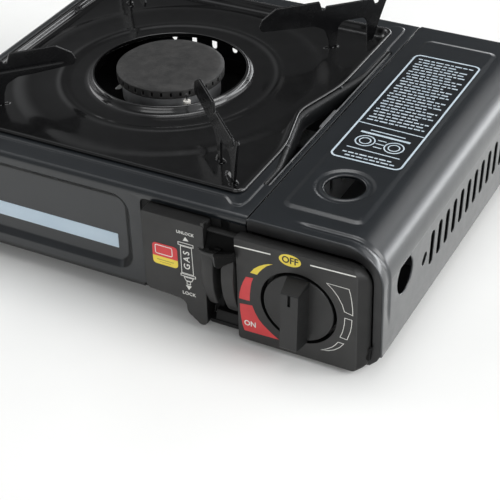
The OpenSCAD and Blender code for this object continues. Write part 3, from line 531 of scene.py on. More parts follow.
# ----------------------------------------------------------------------- lid
def lid():
    b = Build()
    arcn = 28
    xs = [SEAM_R + 1.4, 88, 98, 106, 110, 113, 116, 119, 122, 127, 134, 141]
    path = [(x, TOP) for x in xs] + arc(XR - SH, TOP - SH, SH, 90, 0, arcn) + [(XR, z) for z in (54, 48, 43, 40, 37, 34, 31, 28, 22, 16, 11)]
    nrm = [(0, 1)] * len(xs) + [(math.cos(math.radians(90 - 90 * i / arcn)), math.sin(math.radians(90 - 90 * i / arcn))) for i in range(arcn + 1)] + [(1, 0)] * 11

    def weight(p):
        return smoothstep(110.5, 122, p[0]) * smoothstep(28, 40, p[1])

    def ring(y, edge, groove):
        out = []
        for p, n in zip(path, nrm):
            d = edge + groove * weight(p)
            out.append((p[0] - n[0] * d, y, p[1] - n[1] * d))
        return out

    prof = [(-125.0, 1.15, 0), (-125.0, 0.85, 0.0), (-124.85, 0.42, 0.0), (-124.5, 0.12, 0.0), (-123.9, 0.0, 0.0), (-122.4, 0.0, 0.0), (-121.0, 0.0, 0.05), (-119.8, 0, 0.16), (-118.6, 0, 0.36), (-117.6, 0, 0.68),
            (-116.8, 0, 0.92), (-116.1, 0, 1.0), (-115.4, 0, 0.9), (-114.7, 0, 0.56), (-114.1, 0, 0.2), (-113.5, 0, 0.04), (-112.9, 0, 0.0), (-112.2, 0, 0)]
    b.rows([ring(*q) for q in prof])
    y0 = -112.2
    y1 = YB - 2.2
    back = [(YB - 2.2 * (1 - math.sin(a)), 2.2 * (1 - math.cos(a))) for a in [math.pi / 2 * i / 6 for i in range(7)]]
    b.rows([ring(y, d, 0) for y, d in back])
    nx = len(xs)
    # shoulder
    sh_ = path[nx + 5:nx + arcn + 1]
    b.rows([[(p[0], y0, p[1]) for p in sh_], [(p[0], y1, p[1]) for p in sh_]])
    # side wall with slots and the round hole
    side = path[nx + arcn:]
    outer = ccw([(y0, p[1]) for p in side] + [(y1, p[1]) for p in side[::-1]])
    vents = [slot(-48.5 + i * 12.7, 42.2, 5.8, 23.4, -8) for i in range(14)] + [slot(-60.8, 41.4, 4.6, 8.6, -42)]
    hole = circle(-92, 50, 11.8, 56)
    b.fill(outer, [grow(v, 0.7) for v in vents] + [grow(hole, 0.9)], lambda u, v: (XR, u, v))
    for v_ in vents:
        b.emboss(v_, [(0.7, 0.0), (0.25, 0.12), (0.0, 0.6)], lambda u, v, h: (XR - h, u, v))
    b.emboss(hole, [(0.9, 0.0), (0.35, 0.12), (0.0, 0.6), (0.0, 1.4)], lambda u, v, h: (XR - h, u, v))
    # top sheet: raised field with the view hole
    ks = 5

    def base_z(u):
        return TOP if u <= XR - SH else TOP - SH + math.sqrt(max(0.0, SH * SH - (u - XR + SH) ** 2))

    field = rounded([(95.6, -104.4, 7), (150.4, -104.4, 7), (150.4, 129, 7), (95.6, 129, 7)], 8)
    field = refine(field, 12)
    cuts = [p[0] for p in path[nx:nx + ks]]
    extra = []
    for i_, a_ in enumerate(field):
        c_ = field[(i_ + 1) % len(field)]
        extra.append(a_)
        for t_ in sorted((x_ - a_[0]) / (c_[0] - a_[0]) for x_ in cuts if abs(c_[0] - a_[0]) > 1e-6 and min(a_[0], c_[0]) + 1e-3 < x_ < max(a_[0], c_[0]) - 1e-3):
            extra.append((a_[0] + t_ * (c_[0] - a_[0]), a_[1] + t_ * (c_[1] - a_[1])))
    field = extra
    edge_pts = path[:nx + ks + 1]
    outer = ccw(clean([(p[0], y0) for p in edge_pts] + [(p[0], y1) for p in edge_pts[::-1]]))
    b.fill(outer, [field], lambda u, v: (u, v, base_z(u)), lines=[((p[0], y0), (p[0], y1)) for p in path[nx:nx + ks]])
    fh = [(0.0, 0.0), (-0.6, 0.04), (-1.3, 0.18), (-3.3, 0.80), (-4.1, 0.96), (-4.8, 1.0)]
    b.emboss(field, fh, lambda u, v, h: (u, v, base_z(u) * (1 - h) + (TOP + 1) * h))
    vh = circle(KX, -70, 12.8, 72)
    b.fill(grow(field, -4.8), [grow(vh, 6.9)], lambda u, v: (u, v, TOP + 1))
    b.emboss(vh, [(6.9, 0.0), (6.3, -0.07), (5.5, -0.36), (4.5, -0.82), (3.8, -0.97), (3.0, -0.96), (2.2, -0.72), (1.4, -0.46), (0.6, -0.45), (0.12, -0.75), (0.0, -1.2), (0.0, -2.4)], lambda u, v, h: (u, v, TOP + 1 + h))
    # folded edge along the seam
    seam = [(1.4, 0.0), (0.9, 0.06), (0.4, 0.25), (0.1, 0.55), (0.0, 0.9), (0.0, 1.3)]
    ys = [y0, y1]
    b.rows([[(SEAM_R + d, y, TOP - h) for y in ys] for d, h in seam])
    for sgn, row in ((1, prof), (-1, [(y, d, 0) for y, d in back])):
        lines = []
        for d, h in seam:
            lines.append([(SEAM_R + d, y, TOP - h - e) for y, e, _g in row])
        b.rows(lines)
    ob = b.make("lid_sheet", NAVY, "lid", thick=0.9, toward=((115, 0, 86), (0, 0, 1)), sharp=60, even=False)
    # folded returns along the front and rear edges, and the ears on the hinge pins
    e = Build()
    for y in ((YF + 1.95, YF + 2.75), (YB - 0.95, YB - 0.15)):
        pa = [(p[0] - n[0] * 2.6, p[1] - n[1] * 2.6) for p, n in zip(path, nrm) if p[0] >= 100]
        pb = [(p[0] - n[0] * 0.75, p[1] - n[1] * 0.75) for p, n in zip(path, nrm) if p[0] >= 100]
        outline = ccw(clean(pa + pb[::-1]))
        prism(e, outline, lambda u, v, h: (u, h, v), *y)
    for y in ((-97.2, -95.7), (136.2, 137.7)):
        ear = clean([(HX - 3, 84.2)] + arc(HX, HZ, 3, 180, 360, 16) + [(HX + 3, 84.2)])
        prism(e, ccw(ear), lambda u, v, h: (u, h, v), *y, holes=[circle(HX, HZ, 1.5, 20)])
    ob2 = e.make("lid_returns", BLACKP, "lid", sharp=40)
    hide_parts("canister_lid")


# ---------------------------------------------------------------------- tray
def tray_outline(e=0.0):
    """Rounded square with the notch in its right edge, inset by e."""
    x0, x1, y0, y1 = -159 + e, 71.8 - e, -105.6 + e, 128.7 - e
    r, rr = max(12 - e * 0.6, 4.0), max(6.5 - e * 0.35, 2.0)

    def nx_(y):
        return notch_x(y) - e * 1.03

    d = notch_d(x1 + e * 1.03)
    pts = arc(x1 - rr, y0 + rr, rr, 270, 360, 12)
    # the corner into the notch is rounded over about 20 mm
    q = 11.0
    a, m, c = (x1, NY - d - q), (x1, NY - d), (nx_(NY - d + q), NY - d + q)
    pts += [tuple((1 - t) ** 2 * a[k] + 2 * t * (1 - t) * m[k] + t * t * c[k] for k in (0, 1)) for t in [i / 8 for i in range(9)]]
    ys = [NY - d + q + (i / 24) * (2 * d - 2 * q) for i in range(1, 24)]
    pts += [(nx_(y), y) for y in ys]
    a, m, c = (nx_(NY + d - q), NY + d - q), (x1, NY + d), (x1, NY + d + q)
    pts += [tuple((1 - t) ** 2 * a[k] + 2 * t * (1 - t) * m[k] + t * t * c[k] for k in (0, 1)) for t in [i / 8 for i in range(9)]]
    pts += arc(x1 - rr, y1 - rr, rr, 0, 90, 12) + arc(x0 + r, y1 - r, r, 90, 180, 12) + arc(x0 + r, y0 + r, r, 180, 270, 12)
    return ccw(clean(pts))


def dimple(r0, r1, w, ang):
    """Drop-shaped outline along a diagonal of the burner."""
    pts = arc(r1 - w, 0, w, -90, 90, 10) + arc(r0 + w * 0.45, 0, w * 0.45, 90, 270, 8)
    c, s = math.cos(math.radians(ang)), math.sin(math.radians(ang))
    return ccw(clean([(BX + x * c - y * s, BY + x * s + y * c) for x, y in pts]))


def tray():
    b = Build()
    prof = [(0.3, 86.05), (0.0, 86.5), (0.0, 87.3), (0.25, 87.95), (0.8, 88.4), (1.5, 88.5), (2.2, 88.3), (2.8, 87.7), (3.2, 86.7), (3.6, 85.2), (4.2, 83.9), (5.2, 83.0), (6.6, 82.6), (8.5, 82.5)]
    b.rows([[(u, v, h) for u, v in tray_outline(d)] for d, h in prof], True)
    floor_ = tray_outline(8.5)
    n = 144
    dims = [dimple(r0, r1, w, -45 + 90 * k) for k in range(4) for r0, r1, w in ((111.6, 122.6, 2.7), (131.5, 149.0, 2.7))]
    dims = [d for d in dims if all(inside(p, grow(floor_, -1.6)) for p in d)] + []
    c_out = circle(BX, BY, 109.5, n)
    dd = [grow(d, 0.9) for d in dims]
    b.fill(floor_, [c_out] + dd, lambda u, v: (u, v, 82.5))
    for d in dims:
        b.emboss(d, [(0.9, 82.5), (0.45, 82.42), (0.0, 82.1), (-0.5, 81.6), (-1.05, 81.25)], lambda u, v, h: (u, v, h))
        b.fill(grow(d, -1.05), [], lambda u, v: (u, v, 81.25))
    turn = [(109.5, 82.5), (108.2, 82.52), (106.8, 82.66), (105.0, 82.98), (103.0, 83.34), (101.0, 83.62), (99.0, 83.74), (97.0, 83.72), (95.0, 83.6), (92.0, 83.42), (88.0, 83.3), (84.0, 83.22),
            (80.4, 83.2), (79.0, 83.22), (78.0, 83.32), (77.0, 83.54), (76.0, 83.76), (75.0, 83.84), (73.9, 83.76), (72.8, 83.5), (71.8, 83.18), (70.4, 82.88), (68.0, 82.7),
            (60.0, 82.7), (57.6, 82.85), (56.3, 83.4), (55.4, 84.5), (54.8, 86.0), (54.3, 87.2), (53.6, 87.85), (52.8, 88.0), (52.2, 87.7), (52.2, 87.0)]
    b.rows([[(BX + r * math.cos(2 * math.pi * i / n), BY + r * math.sin(2 * math.pi * i / n), z) for i in range(n)] for r, z in turn], True)
    ob = b.make("tray_pressing", ENAMEL, "tray", thick=0.7, toward=((-45 + 60, 12.5, 82.7), (0, 0, 1)), sharp=60, even=False)
    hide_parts("drip_tray")


def pan_arms():
    """Upright plates with rounded corners, a pressed rib and bent feet."""
    top = 119.0
    out = rounded([(115.2, 81.6, 0.8), (120.8, 81.6, 0.8), (122.4, 97.5, 3), (125.5, 101.5, 3), (141.0, 101.5, 3), (143.6, 98, 3), (143.8, 81.6, 0.6), (147.4, 81.6, 0.6), (150.2, 88.0, 4),
                   (152.3, 95.7, 6), (155.3, 104.5, 6), (158.3, 113.0, 3), (160.0, 117.2, 0.8), (158.8, 118.9, 0.7), (157.4, 119.0, 0.6), (155.0, 117.2, 1.0), (153.0, 113.6, 1.2), (151.6, 110.6, 1.0),
                   (149.6, 110.6, 0.8), (148.4, 113.6, 0.8), (147.4, 114.7, 0.8), (113.2, 114.7, 0.8), (112.2, 112.6, 0.8), (110.2, 112.6, 0.8), (109.4, 115.0, 0.8), (108.2, 119.0, 0.9), (77.0, 119.0, 2.5),
                   (66.5, 112.2, 3), (64.2, 107.0, 2), (66.0, 103.2, 2), (92.0, 101.4, 6), (104.0, 101.0, 6), (112.0, 97.0, 5), (114.4, 90.0, 4)], 4)
    for name, a in (("trivet_arm_front_right", -45), ("trivet_arm_front_left", -135), ("trivet_arm_rear_left", 135), ("trivet_arm_rear_right", 45)):
        b = Build()
        c, s = math.cos(math.radians(a)), math.sin(math.radians(a))

        def put(u, v, h):
            return (BX + u * c - h * s, BY + u * s + h * c, v)

        # round edged plate, 1.8 mm thick
        t, e = 0.9, 0.45
        b.emboss(out, [(-e, -t), (-0.15, -t + 0.13), (0, -t + e), (0, t - e), (-0.15, t - 0.13), (-e, t)], put)
        rib = rounded([(72.5, 108.6, 2.2), (136.0, 108.6, 2.2), (136.0, 105.2, 1.6), (72.5, 105.2, 1.6)], 5)
        for sgn in (-1, 1):
            b.fill(grow(out, -e), [rib] if sgn > 0 else [], lambda u, v, k=sgn: put(u, v, k * t))
        b.emboss(rib, [(0, t), (-0.3, t - 0.12), (-0.8, t - 0.4)], put)
        b.fill(grow(rib, -0.8), [], lambda u, v: put(u, v, t - 0.4))
        # bent feet that lie in the tray's pressed hollows
        for r0, r1 in ((116.2, 119.9), (144.3, 147.0)):
            foot = rrect(r0, r1, -3.6, 3.6, 1.0, 4)
            prism(b, foot, lambda u, v, h: (BX + u * c - v * s, BY + u * s + v * c, h), 81.35, 82.2, round_top=0.3, n=2)
        ob = b.make(name + "_plate", ARM, "tray", sharp=50)
        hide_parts(name)


# ------------------------------------------------------------ control panel
def put_front(u, v, h):
    """Sketch in X and Z, height measured from Y = 0 (negative is towards the front)."""
    return (u, h, v)


def panel():
    b = Build()
    # knob plate: sharp front crease, tapered side, fuller shoulder further back
    n = 10

    def knob_plate(x1, zt, r, zb=2.6, x0=82.3, rb=3.2):
        return ccw(clean(arc(x0 + 2.2, zb + 2.2, 2.2, 180, 270, 5) + [(100, zb), (120, zb), (140, zb)] + arc(x1 - rb, zb + rb, rb, 270, 360, n) + [(x1, 22), (x1, 34), (x1, 46)]
                         + arc(x1 - r, zt - r, r, 0, 90, n) + [(140 - (9 if r > 11 else 0), zt), (120, zt), (100, zt)] + arc(x0 + 0.2, zt - 1.2, 1.2, 90, 180, 4) + [(x0 - 1.0, 70.5), (x0 - 0.3, 65), (x0, 58), (x0, 46), (x0, 34), (x0, 22)]))

    steps = [(-119.5, 164.6, 72.0, 13.0, 4.2, 5.0), (-125.06, 165.0, 72.4, 13.0, 3.8, 5.0), (-125.4, 165.6, 75.6, 13.5, 3.6, 5.0), (-127.0, 165.2, 76.6, 13.0, 3.2, 4.6), (-129.5, 164.0, 77.2, 11.5, 2.9, 4.2), (-132.0, 162.4, 77.4, 9.0, 2.8, 3.8),
             (-134.0, 161.0, 77.0, 6.6, 2.8, 3.4), (-134.75, 160.6, 76.7, 5.8, 2.9, 3.2), (-135.0, 160.2, 76.3, 5.4, 3.2, 3.0)]
    loops = []
    for y, x1, zt, r, zb, rb in steps:
        k = 82.3 + (zb - 2.8) * 0.5
        loops.append([(u, y, v) for u, v in knob_plate(x1, zt, r, zb, k, rb)])
    b.rows(loops, True)
    face = [(p[0], p[2]) for p in loops[-1]]
    well = circle(KX, KZ, 24.8, 96)
    b.fill(face, [grow(well, 0.5)], lambda u, v: (u, PF, v))
    b.emboss(well, [(0.5, PF), (0.15, PF + 0.1), (0.0, PF + 0.5), (0.0, -127.3)], put_front)
    b.fill(well, [circle(KX, KZ, 6, 32)], lambda u, v: (u, -127.3, v))
    b.fill([(p[0], p[2]) for p in loops[0]], [circle(KX, KZ, 23.5, 48)], lambda u, v: (u, -119.5, v))
    # its sides, top and bottom take the painted-shade copy of the moulding
    ob = b.make("knob_plate", [PANEL, PANEL_PAINTED_SHADE], "body", sharp=24, toward=((145, -135, 70), (0, -1, 0)), paint_side_shade=True)
    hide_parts("control_panel")
    # plate with the lever slot and its curved leg
    c = Build()
    plate = ccw(clean(arc(19.6, 77.1, 1.6, 90, 180, 5) + [(18.0, 60), (18.0, 40), (18.0, 26.0)] + arc(22.4, 25.2, 4.4, 184, 262, 7) + [(28, 20.6), (35, 20.4)] + arc(41.2, 14.2, 5.6, 96, 20, 9)
                      + arc(52.6, 14.0, 6.2, 196, 246, 7) + [(51.6, 6.9)] + arc(57.0, 7.6, 3.9, 214, 300, 8) + [(60.6, 6.2), (61.0, 9), (61.0, 16), (61.0, 40), (61.0, 60), (61.0, 77.0)]
                      + arc(59.6, 77.2, 1.4, 0, 90, 4)))
    prof = [(0, -125.4), (0, -134.3), (-0.1, -134.7), (-0.25, -134.92), (-0.5, -135.0)]
    c.emboss(plate, prof, put_front)
    c.fill(grow(plate, -0.5), [], lambda u, v: (u, PF, v))
    c.fill(plate, [], lambda u, v: (u, -125.4, v))
    # small lug at the upper right corner
    prism(c, rrect(58.9, 61.2, 76.6, 80.6, 0.9, 4), put_front, -134.6, -131.4)
    # its sides, top and bottom take the painted-shade copy of the moulding
    ob = c.make("lever_plate", [PANEL, PANEL_PAINTED_SHADE], "body", sharp=30, toward=((40, -135, 60), (0, -1, 0)), paint_side_shade=True)
    # cradle: two arched guards with the dark track between them
    d = Build()
    ly, lz = -85.0, 46.0

    def arch(r1, a0, a1, r0):
        return ccw(clean(arc(ly, lz, r1, a0, a1, 26) + arc(ly, lz, r0, a1, a0, 10)))

    def guard(x0, x1, r1, a0, a1, r0, e=0.9, left=0.0):
        """Arched cheek with a rounded upper end; left is how far its left flank falls off."""
        w = x1 - x0
        secs = [(x0, e + left, 7.0), (x0 + 0.12 * e, e * 0.45 + left, 5.6), (x0 + 0.45 * e, e * 0.12 + left * 0.9, 4.3), (x0 + e, left * 0.7, 3.0), (x0 + 0.28 * w, left * 0.25, 1.2), (x0 + 0.5 * w, 0.0, 0.0),
                (x0 + 0.72 * w, 0.0, 1.0), (x1 - e, 0.0, 3.4), (x1 - 0.45 * e, e * 0.12, 5.2), (x1 - 0.12 * e, e * 0.45, 7.0), (x1, e, 8.6)]
        loops = []
        for x, dr, da in secs:
            o = clean(arc(ly, lz, r1 - dr, a0 + da, a1 - da * 0.15, 30) + arc(ly, lz, r0, a1 - da * 0.15, a0 + da, 10))
            loops.append([(x, u, v) for u, v in o])
        d.rows(loops, True)
        for lp in (loops[0], loops[-1]):
            x = lp[0][0]
            d.fill(ccw([(q[1], q[2]) for q in lp]), [], lambda u, v, k=x: (k, u, v))

    guard(58.4, 67.8, 53.4, 160.5, 206.5, 41.0, 0.9, 2.4)
    guard(73.0, 81.4, 53.0, 160.5, 211.0, 41.0, 0.7, 0.2)
    ob = d.make("lever_guards", PANEL, "body", sharp=32)
    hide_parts("lever_cradle")
    # cross bar, standing on the lower bar; the cross bar takes the painted-shade copy of the moulding and the lower bar
    # is painted shade too
    k = Build()
    prism(k, ccw([(-125.0, 7.6), (-131.0, 7.6), (-131.0, 8.6), (-130.2, 9.4), (-129.2, 13.4), (-128.4, 14.2), (-125.0, 14.4)]), lambda u, v, h: (h, u, v), 64.4, 81.9)
    # bearing cheeks behind the guards
    for x in ((61.5, 66.2), (73.8, 75.8)):
        prism(k, circle(ly, lz, 7.6, 40), lambda u, v, h: (h, u, v), *x, holes=[circle(ly, lz, 2.5, 24)])
        prism(k, ccw(clean([(-44.5 + ly + 0.5, lz - 14), (ly - 5, lz - 4), (ly - 5, lz + 4), (-44.5 + ly + 0.5, lz + 14)])), lambda u, v, h: (h, u, v), *x)
    # the cross bar and the bearing cheeks are in the painted-shade copy of the moulding
    ob = k.make("lever_bearing", PANEL_PAINTED_SHADE, "body", sharp=32)
    # top bar of the slot, in the painted-shade copy of the moulding
    g = Build()
    prism(g, ccw([(-131.4, 73.7), (-131.2, 74.2), (-130.6, 74.5), (-127.6, 74.5), (-127.2, 73.9), (-125.2, 73.7), (-125.2, 72.9), (-130.8, 73.1)]), lambda u, v, h: (h, u, v), 61.3, 81.6)
    g.mat = 1
    # curved shield behind the lever's head, in the darker lever moulding as painted shade
    for x0, x1, a1 in ((61.2, 67.9, 162.0), (67.9, 72.9, 158.0), (72.9, 81.6, 162.0)):
        prism(g, ccw(clean(arc(ly, lz, 52.3, 148.5, a1, 12) + arc(ly, lz, 51.3, a1, 148.5, 12))), lambda u, v, h: (h, u, v), x0, x1)
    ob = g.make("slot_top_bar", [PANEL_PAINTED_SHADE, LEVER_PAINTED_SHADE], "body", sharp=30)
    # near-black parts behind the slot, painted shade, so that no light falls through
    e = Build()
    prism(e, rrect(-123.9, -123.3, 21.2, 79.2, 0.2, 2), lambda u, v, h: (h, u, v), 12.2, 61.0)
    prism(e, ccw([(-131.6, 8.4), (-125.2, 8.8), (-125.2, 3.6), (-129.2, 3.6), (-131.2, 6.0)]), lambda u, v, h: (h, u, v), 60.9, 82.5)
    prism(e, rrect(-124.9, -124.3, 8.8, 79.6, 0.2, 2), lambda u, v, h: (h, u, v), 61.0, 67.6)
    prism(e, rrect(-124.9, -124.3, 8.8, 79.6, 0.2, 2), lambda u, v, h: (h, u, v), 73.4, 84.0)
    ob = e.make("panel_apron", INTERIOR_PAINTED_SHADE, "body", sharp=30)
    # clip hook at the lower right of the housing in the painted-shade copy of the moulding, in a small recess painted
    # near-black as shade
    f = Build()
    f.mat = 1
    prism(f, rounded([(162.6, 8.0, 0.6), (165.4, 8.0, 0.6), (165.9, 14.6, 0.8), (167.2, 17.6, 0.6), (165.2, 17.6, 0.6), (162.9, 14.4, 0.8)], 4), put_front, -125.3, -127.6)
    f.mat = 0
    prism(f, rounded([(163.6, 9.4, 0.5), (165.0, 9.4, 0.5), (165.2, 12.8, 0.5), (163.7, 12.8, 0.5)], 4), put_front, -127.2, -128.3, round_top=0.3, n=3)
    ob = f.make("housing_clip", [PANEL_PAINTED_SHADE, INTERIOR_PAINTED_SHADE], "body", sharp=30)


def end_plate():
    """Dark arched plate behind the housing, with a narrow gap along its inner edge."""
    b = Build()
    xo, zo, ro = XR - 0.98, TOP - 0.98, SH - 0.98
    outer = [(84.7, zo), (100, zo), (120, zo)] + arc(xo - ro, zo - ro, ro, 90, 0, 24) + [(xo, 45), (xo, 30), (xo, 11.4), (169.4, 7.0), (164.7, 2.3), (157.0, 2.3)]
    inner = [(157.0, 6.5), (164.4, 7.2), (165.3, 13.0), (165.95, 18.0), (165.95, 35), (165.95, 50)] + arc(165.95 - 14.2, 76.5 - 14.2, 14.2, 0, 90, 14) + [(120, 76.5), (100, 76.5), (84.7, 76.5)]
    o = ccw(clean(outer + inner))
    prof = [(-0.1, -123.2), (0.0, -123.5), (0.0, -124.35), (-0.12, -124.7), (-0.35, -124.88), (-0.7, -124.95)]
    b.emboss(o, prof, put_front)
    b.fill(grow(o, -0.7), [], lambda u, v: (u, -124.95, v))
    b.fill(grow(o, -0.1), [], lambda u, v: (u, -123.2, v))
    ob = b.make("end_band", BLACKP, "body", sharp=45, toward=((168, -124.9, 40), (0, -1, 0)))
    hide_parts("end_plate_front")
    # near-black sheet behind the gap: painted shade
    c = Build()
    sheet = [(12.2, 80.6), (82.9, 80.6), (82.9, 73.0), (99.5, 73.0), (99.5, 80.6), (110, 80.6), (130, 80.0)] + arc(XR - 4.4 - 20, TOP - 4.6 - 20, 20, 90, 0, 18) + [(XR - 4.4, 40), (XR - 4.4, 12), (163, 4.4), (84.5, 4.4), (84.5, 76.0), (12.2, 79.0)]
    prism(c, ccw(clean(sheet)), put_front, -118.9, -118.3)
    ob = c.make("bay_front_sheet", INTERIOR_PAINTED_SHADE, "body", sharp=40)


# ------------------------------------------------------------ knob and lever
def knob():
    b = Build()
    n = 96
    prof = [(0.5, -128.0), (19.5, -128.0), (22.2, -128.0), (22.7, -128.3), (22.9, -128.9), (22.9, -134.3), (22.75, -134.9), (22.4, -135.3), (21.8, -135.45), (12, -135.45), (0.5, -135.45)]
    rows = [[(KX + r * math.cos(2 * math.pi * i / n), y, KZ + r * math.sin(2 * math.pi * i / n)) for i in range(n)] for r, y in prof]
    b.rows(rows, True)
    b.make("knob_disc", KNOB, "knob", sharp=32)
    # grip: a bar with tapered flanks, a slanted facet at its upper end and a pointer groove
    g = Build()
    w0, w1, f = 7.2, 5.6, -147.2

    def sec(z, k, front, groove=0.0):
        w = w0 + (w1 - w0) * min(1.0, (-135.2 - front) / 12.0)
        x = KX + 0.036 * z - 0.35
        e = 0.16 if groove > 0 else 0.02
        return [(x - w0 * k, -135.2, KZ + z), (x - w * k, front, KZ + z), (x - 1.05, front - 0.1, KZ + z), (x - 1.05 + e, front - 0.1 + groove, KZ + z),
                (x + 0.75 - e, front - 0.1 + groove, KZ + z), (x + 0.75, front - 0.1, KZ + z), (x + w * k, front, KZ + z), (x + w0 * k, -135.2, KZ + z)]

    rows = [sec(-23.0, 1.0, -135.6), sec(-22.6, 1.0, f + 0.3), sec(-22.0, 1.0, f), sec(0.0, 1.0, f), sec(9.6, 1.0, f), sec(9.75, 1.0, f, 1.3), sec(14.0, 1.0, f, 1.3), sec(17.3, 1.0, f, 1.3), sec(17.5, 1.0, f, 0.02),
            sec(18.35, 1.0, f + 0.35, 0.02), sec(19.2, 1.0, f + 3.0, 0.02), sec(19.9, 1.0, f + 5.0, 0.02), sec(22.3, 0.99, -135.9)]
    for i_, (ra, rb) in enumerate(zip(rows, rows[1:])):
        # the slanted facet at the upper end takes the painted-shade copy of the moulding
        g.mat = 1 if i_ >= 9 else 0
        g.bridge(ra, rb, True)
    g.mat = 0
    for r_ in (rows[0], rows[-1]):
        g.face([g.add(p) for p in r_])
    ob = g.make("knob_grip", [KNOB, PANEL_PAINTED_SHADE], "knob", sharp=16)
    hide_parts("knob")
    # darker lever moulding at the bottom of the pointer groove: painted shade in the groove
    h = Build()
    prism(h, rounded([(KX - 0.92, KZ + 9.9, 0.2), (KX + 0.56, KZ + 9.9, 0.2), (KX + 0.82, KZ + 17.1, 0.2), (KX - 0.66, KZ + 17.1, 0.2)], 3), put_front, -145.9, -146.2)
    ob = h.make("knob_pointer", LEVER_PAINTED_SHADE, "knob", sharp=40)


def table(x, xs, vs):
    """Smooth interpolation in a small table."""
    if x <= xs[0]:
        return vs[0]
    for a, c, va, vc in zip(xs, xs[1:], vs, vs[1:]):
        if x <= c:
            return va + (vc - va) * smoothstep(a, c, x)
    return vs[-1]


def lever():
    b = Build()
    up = math.radians(17.0)
    ly, lz = -85.0, 46.0

    def put(x, u, v):
        """u towards the front along the lever, v above it."""
        return (x, ly - u * math.cos(up) + v * math.sin(up), lz + u * math.sin(up) + v * math.cos(up))

    # head, swept across X: front top edge, its rounded band, undercut wing on the left, apron over the track
    fx = [59.3, 61.0, 63.0, 66.0, 69.0, 72.0, 75.0, 78.0, 81.0, 83.4]
    fy = [-139.7, -140.9, -141.4, -141.7, -141.8, -141.8, -141.6, -141.1, -140.0, -138.4]
    fz = [66.5, 66.0, 65.7, 65.7, 65.9, 66.4, 67.1, 67.7, 68.2, 68.5]
    cx = [59.3, 61.0, 62.6, 65.0, 67.2, 69.0, 70.2, 72.5, 74.6, 76.4, 80.4, 83.4]
    cz = [65.5, 63.6, 62.2, 61.5, 60.9, 58.6, 55.3, 54.7, 55.7, 57.9, 60.4, 62.3]
    cy = [-139.5, -138.9, -138.2, -137.9, -138.1, -139.2, -139.9, -140.1, -139.9, -139.7, -138.9, -137.9]
    secs = []
    xs = [59.3, 59.5, 60.0, 60.8, 61.8, 63, 64.5, 66, 67.2, 68.2, 69, 69.6, 70.2, 70.9, 71.8, 72.8, 73.8, 74.7, 75.6, 76.5, 77.6, 79, 80.4, 81.6, 82.5, 83.0, 83.3, 83.45]
    for x in xs:
        yb_, zb_ = table(x, fx, fy), table(x, fx, fz)
        yc, zc = table(x, cx, cy), table(x, cx, cz)
        rin = 55.3 if (x < 61.5 or x > 81.8) else 54.0
        za = zb_ - 1.75
        ya = ly - math.sqrt(rin * rin - (za - lz) ** 2)
        zd = min(zc + 0.1, za - 0.5)
        yd = ly - math.sqrt(rin * rin - (zd - lz) ** 2)
        dip = 0.35 * smoothstep(60, 64, x) * (1 - smoothstep(79, 83, x))
        hb_ = min(2.3, (zb_ - zc) * 0.5)
        row = [(ya, za), (ya + (yb_ - ya) * 0.4, za + (zb_ - za) * 0.4 - dip), (yb_ + 1.3, zb_ - 0.32 - dip * 0.4), (yb_ + 0.55, zb_ - 0.05), (yb_ + 0.12, zb_ - 0.35), (yb_, zb_ - 0.9), (yb_ + 0.15, zb_ - hb_),
               (yb_ + 0.5 + (yc - yb_) * 0.2, zb_ - hb_ - 0.45), (yc - 0.25, zc + 0.9), (yc + 0.05, zc + 0.3), (yc + 0.5, zc)]
        row += [(yd, zd)]
        e_ = min((x - 59.3) / 0.8, (83.45 - x) / 0.7)
        k = 0.45 + 0.55 * math.sqrt(max(0.0, 1 - (1 - min(1.0, e_)) ** 2))
        my, mz = sum(p[0] for p in row) / len(row), sum(p[1] for p in row) / len(row)
        secs.append([(x, my + (u - my) * k, mz + (v - mz) * k) for u, v in row])
    for sa, sb in zip(secs, secs[1:]):
        # the head's right part takes the darker lever moulding: painted shade
        b.mat = 0 if sb[0][0] < 71.0 else 1
        b.bridge(sa, sb, True)
    for s_ in (secs[0], secs[-1]):
        b.face([b.add(p) for p in s_])
    # arm, hub and crank, in the darker lever moulding as painted shade
    b.mat = 1
    arm = rounded([(0, 4.5, 0), (54.2, 4.5, 1.0), (54.2, -4.5, 1.0), (0, -4.5, 0)], 4)
    prism(b, arm, lambda u, v, h: put(h, u, v), 68.4, 72.4)
    prism(b, circle(0, 0, 6.5, 40), lambda u, v, h: put(h, u, v), 67.0, 73.0, holes=[circle(0, 0, 2.55, 24)])
    prism(b, rrect(ly - 2.4, ly + 2.4, lz + 5.5, lz + 12.4, 1.6, 5), lambda u, v, h: (h, u, v), 67.0, 73.0)
    prism(b, circle(ly, lz + 10, 1.8, 24), lambda u, v, h: (h, u, v), 72.0, 78.6)
    ob = b.make("lever_thumb", [LEVER, LEVER_PAINTED_SHADE], "lever", sharp=34)
    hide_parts("lock_lever")


# ------------------------------------------------------------------- prints
def stroke(b, pts, w, put, h0, h1, closed=False):
    """A printed line of width w along points."""
    m = len(pts)
    lft, rgt = [], []
    for i in range(m):
        p0 = Vector(pts[i - 1] if (closed or i > 0) else pts[i])
        p1 = Vector(pts[(i + 1) % m] if (closed or i < m - 1) else pts[i])
        p = Vector(pts[i])
        t0 = (p - p0).normalized() if (p - p0).length > 1e-9 else (p1 - p).normalized()
        t1 = (p1 - p).normalized() if (p1 - p).length > 1e-9 else t0
        n0, n1 = Vector((-t0.y, t0.x)), Vector((-t1.y, t1.x))
        nn = (n0 + n1).normalized()
        k = max(0.5, nn.dot(n0))
        lft.append((p + nn * (w / 2 / k)))
        rgt.append((p - nn * (w / 2 / k)))
    rows = [[put(q.x, q.y, h0) for q in lft], [put(q.x, q.y, h1) for q in lft], [put(q.x, q.y, h1) for q in rgt], [put(q.x, q.y, h0) for q in rgt]]
    rows.append(rows[0])
    b.rows(rows, closed)
    if not closed:
        for i in (0, m - 1):
            b.face([b.add(r[i]) for r in rows[:4]])


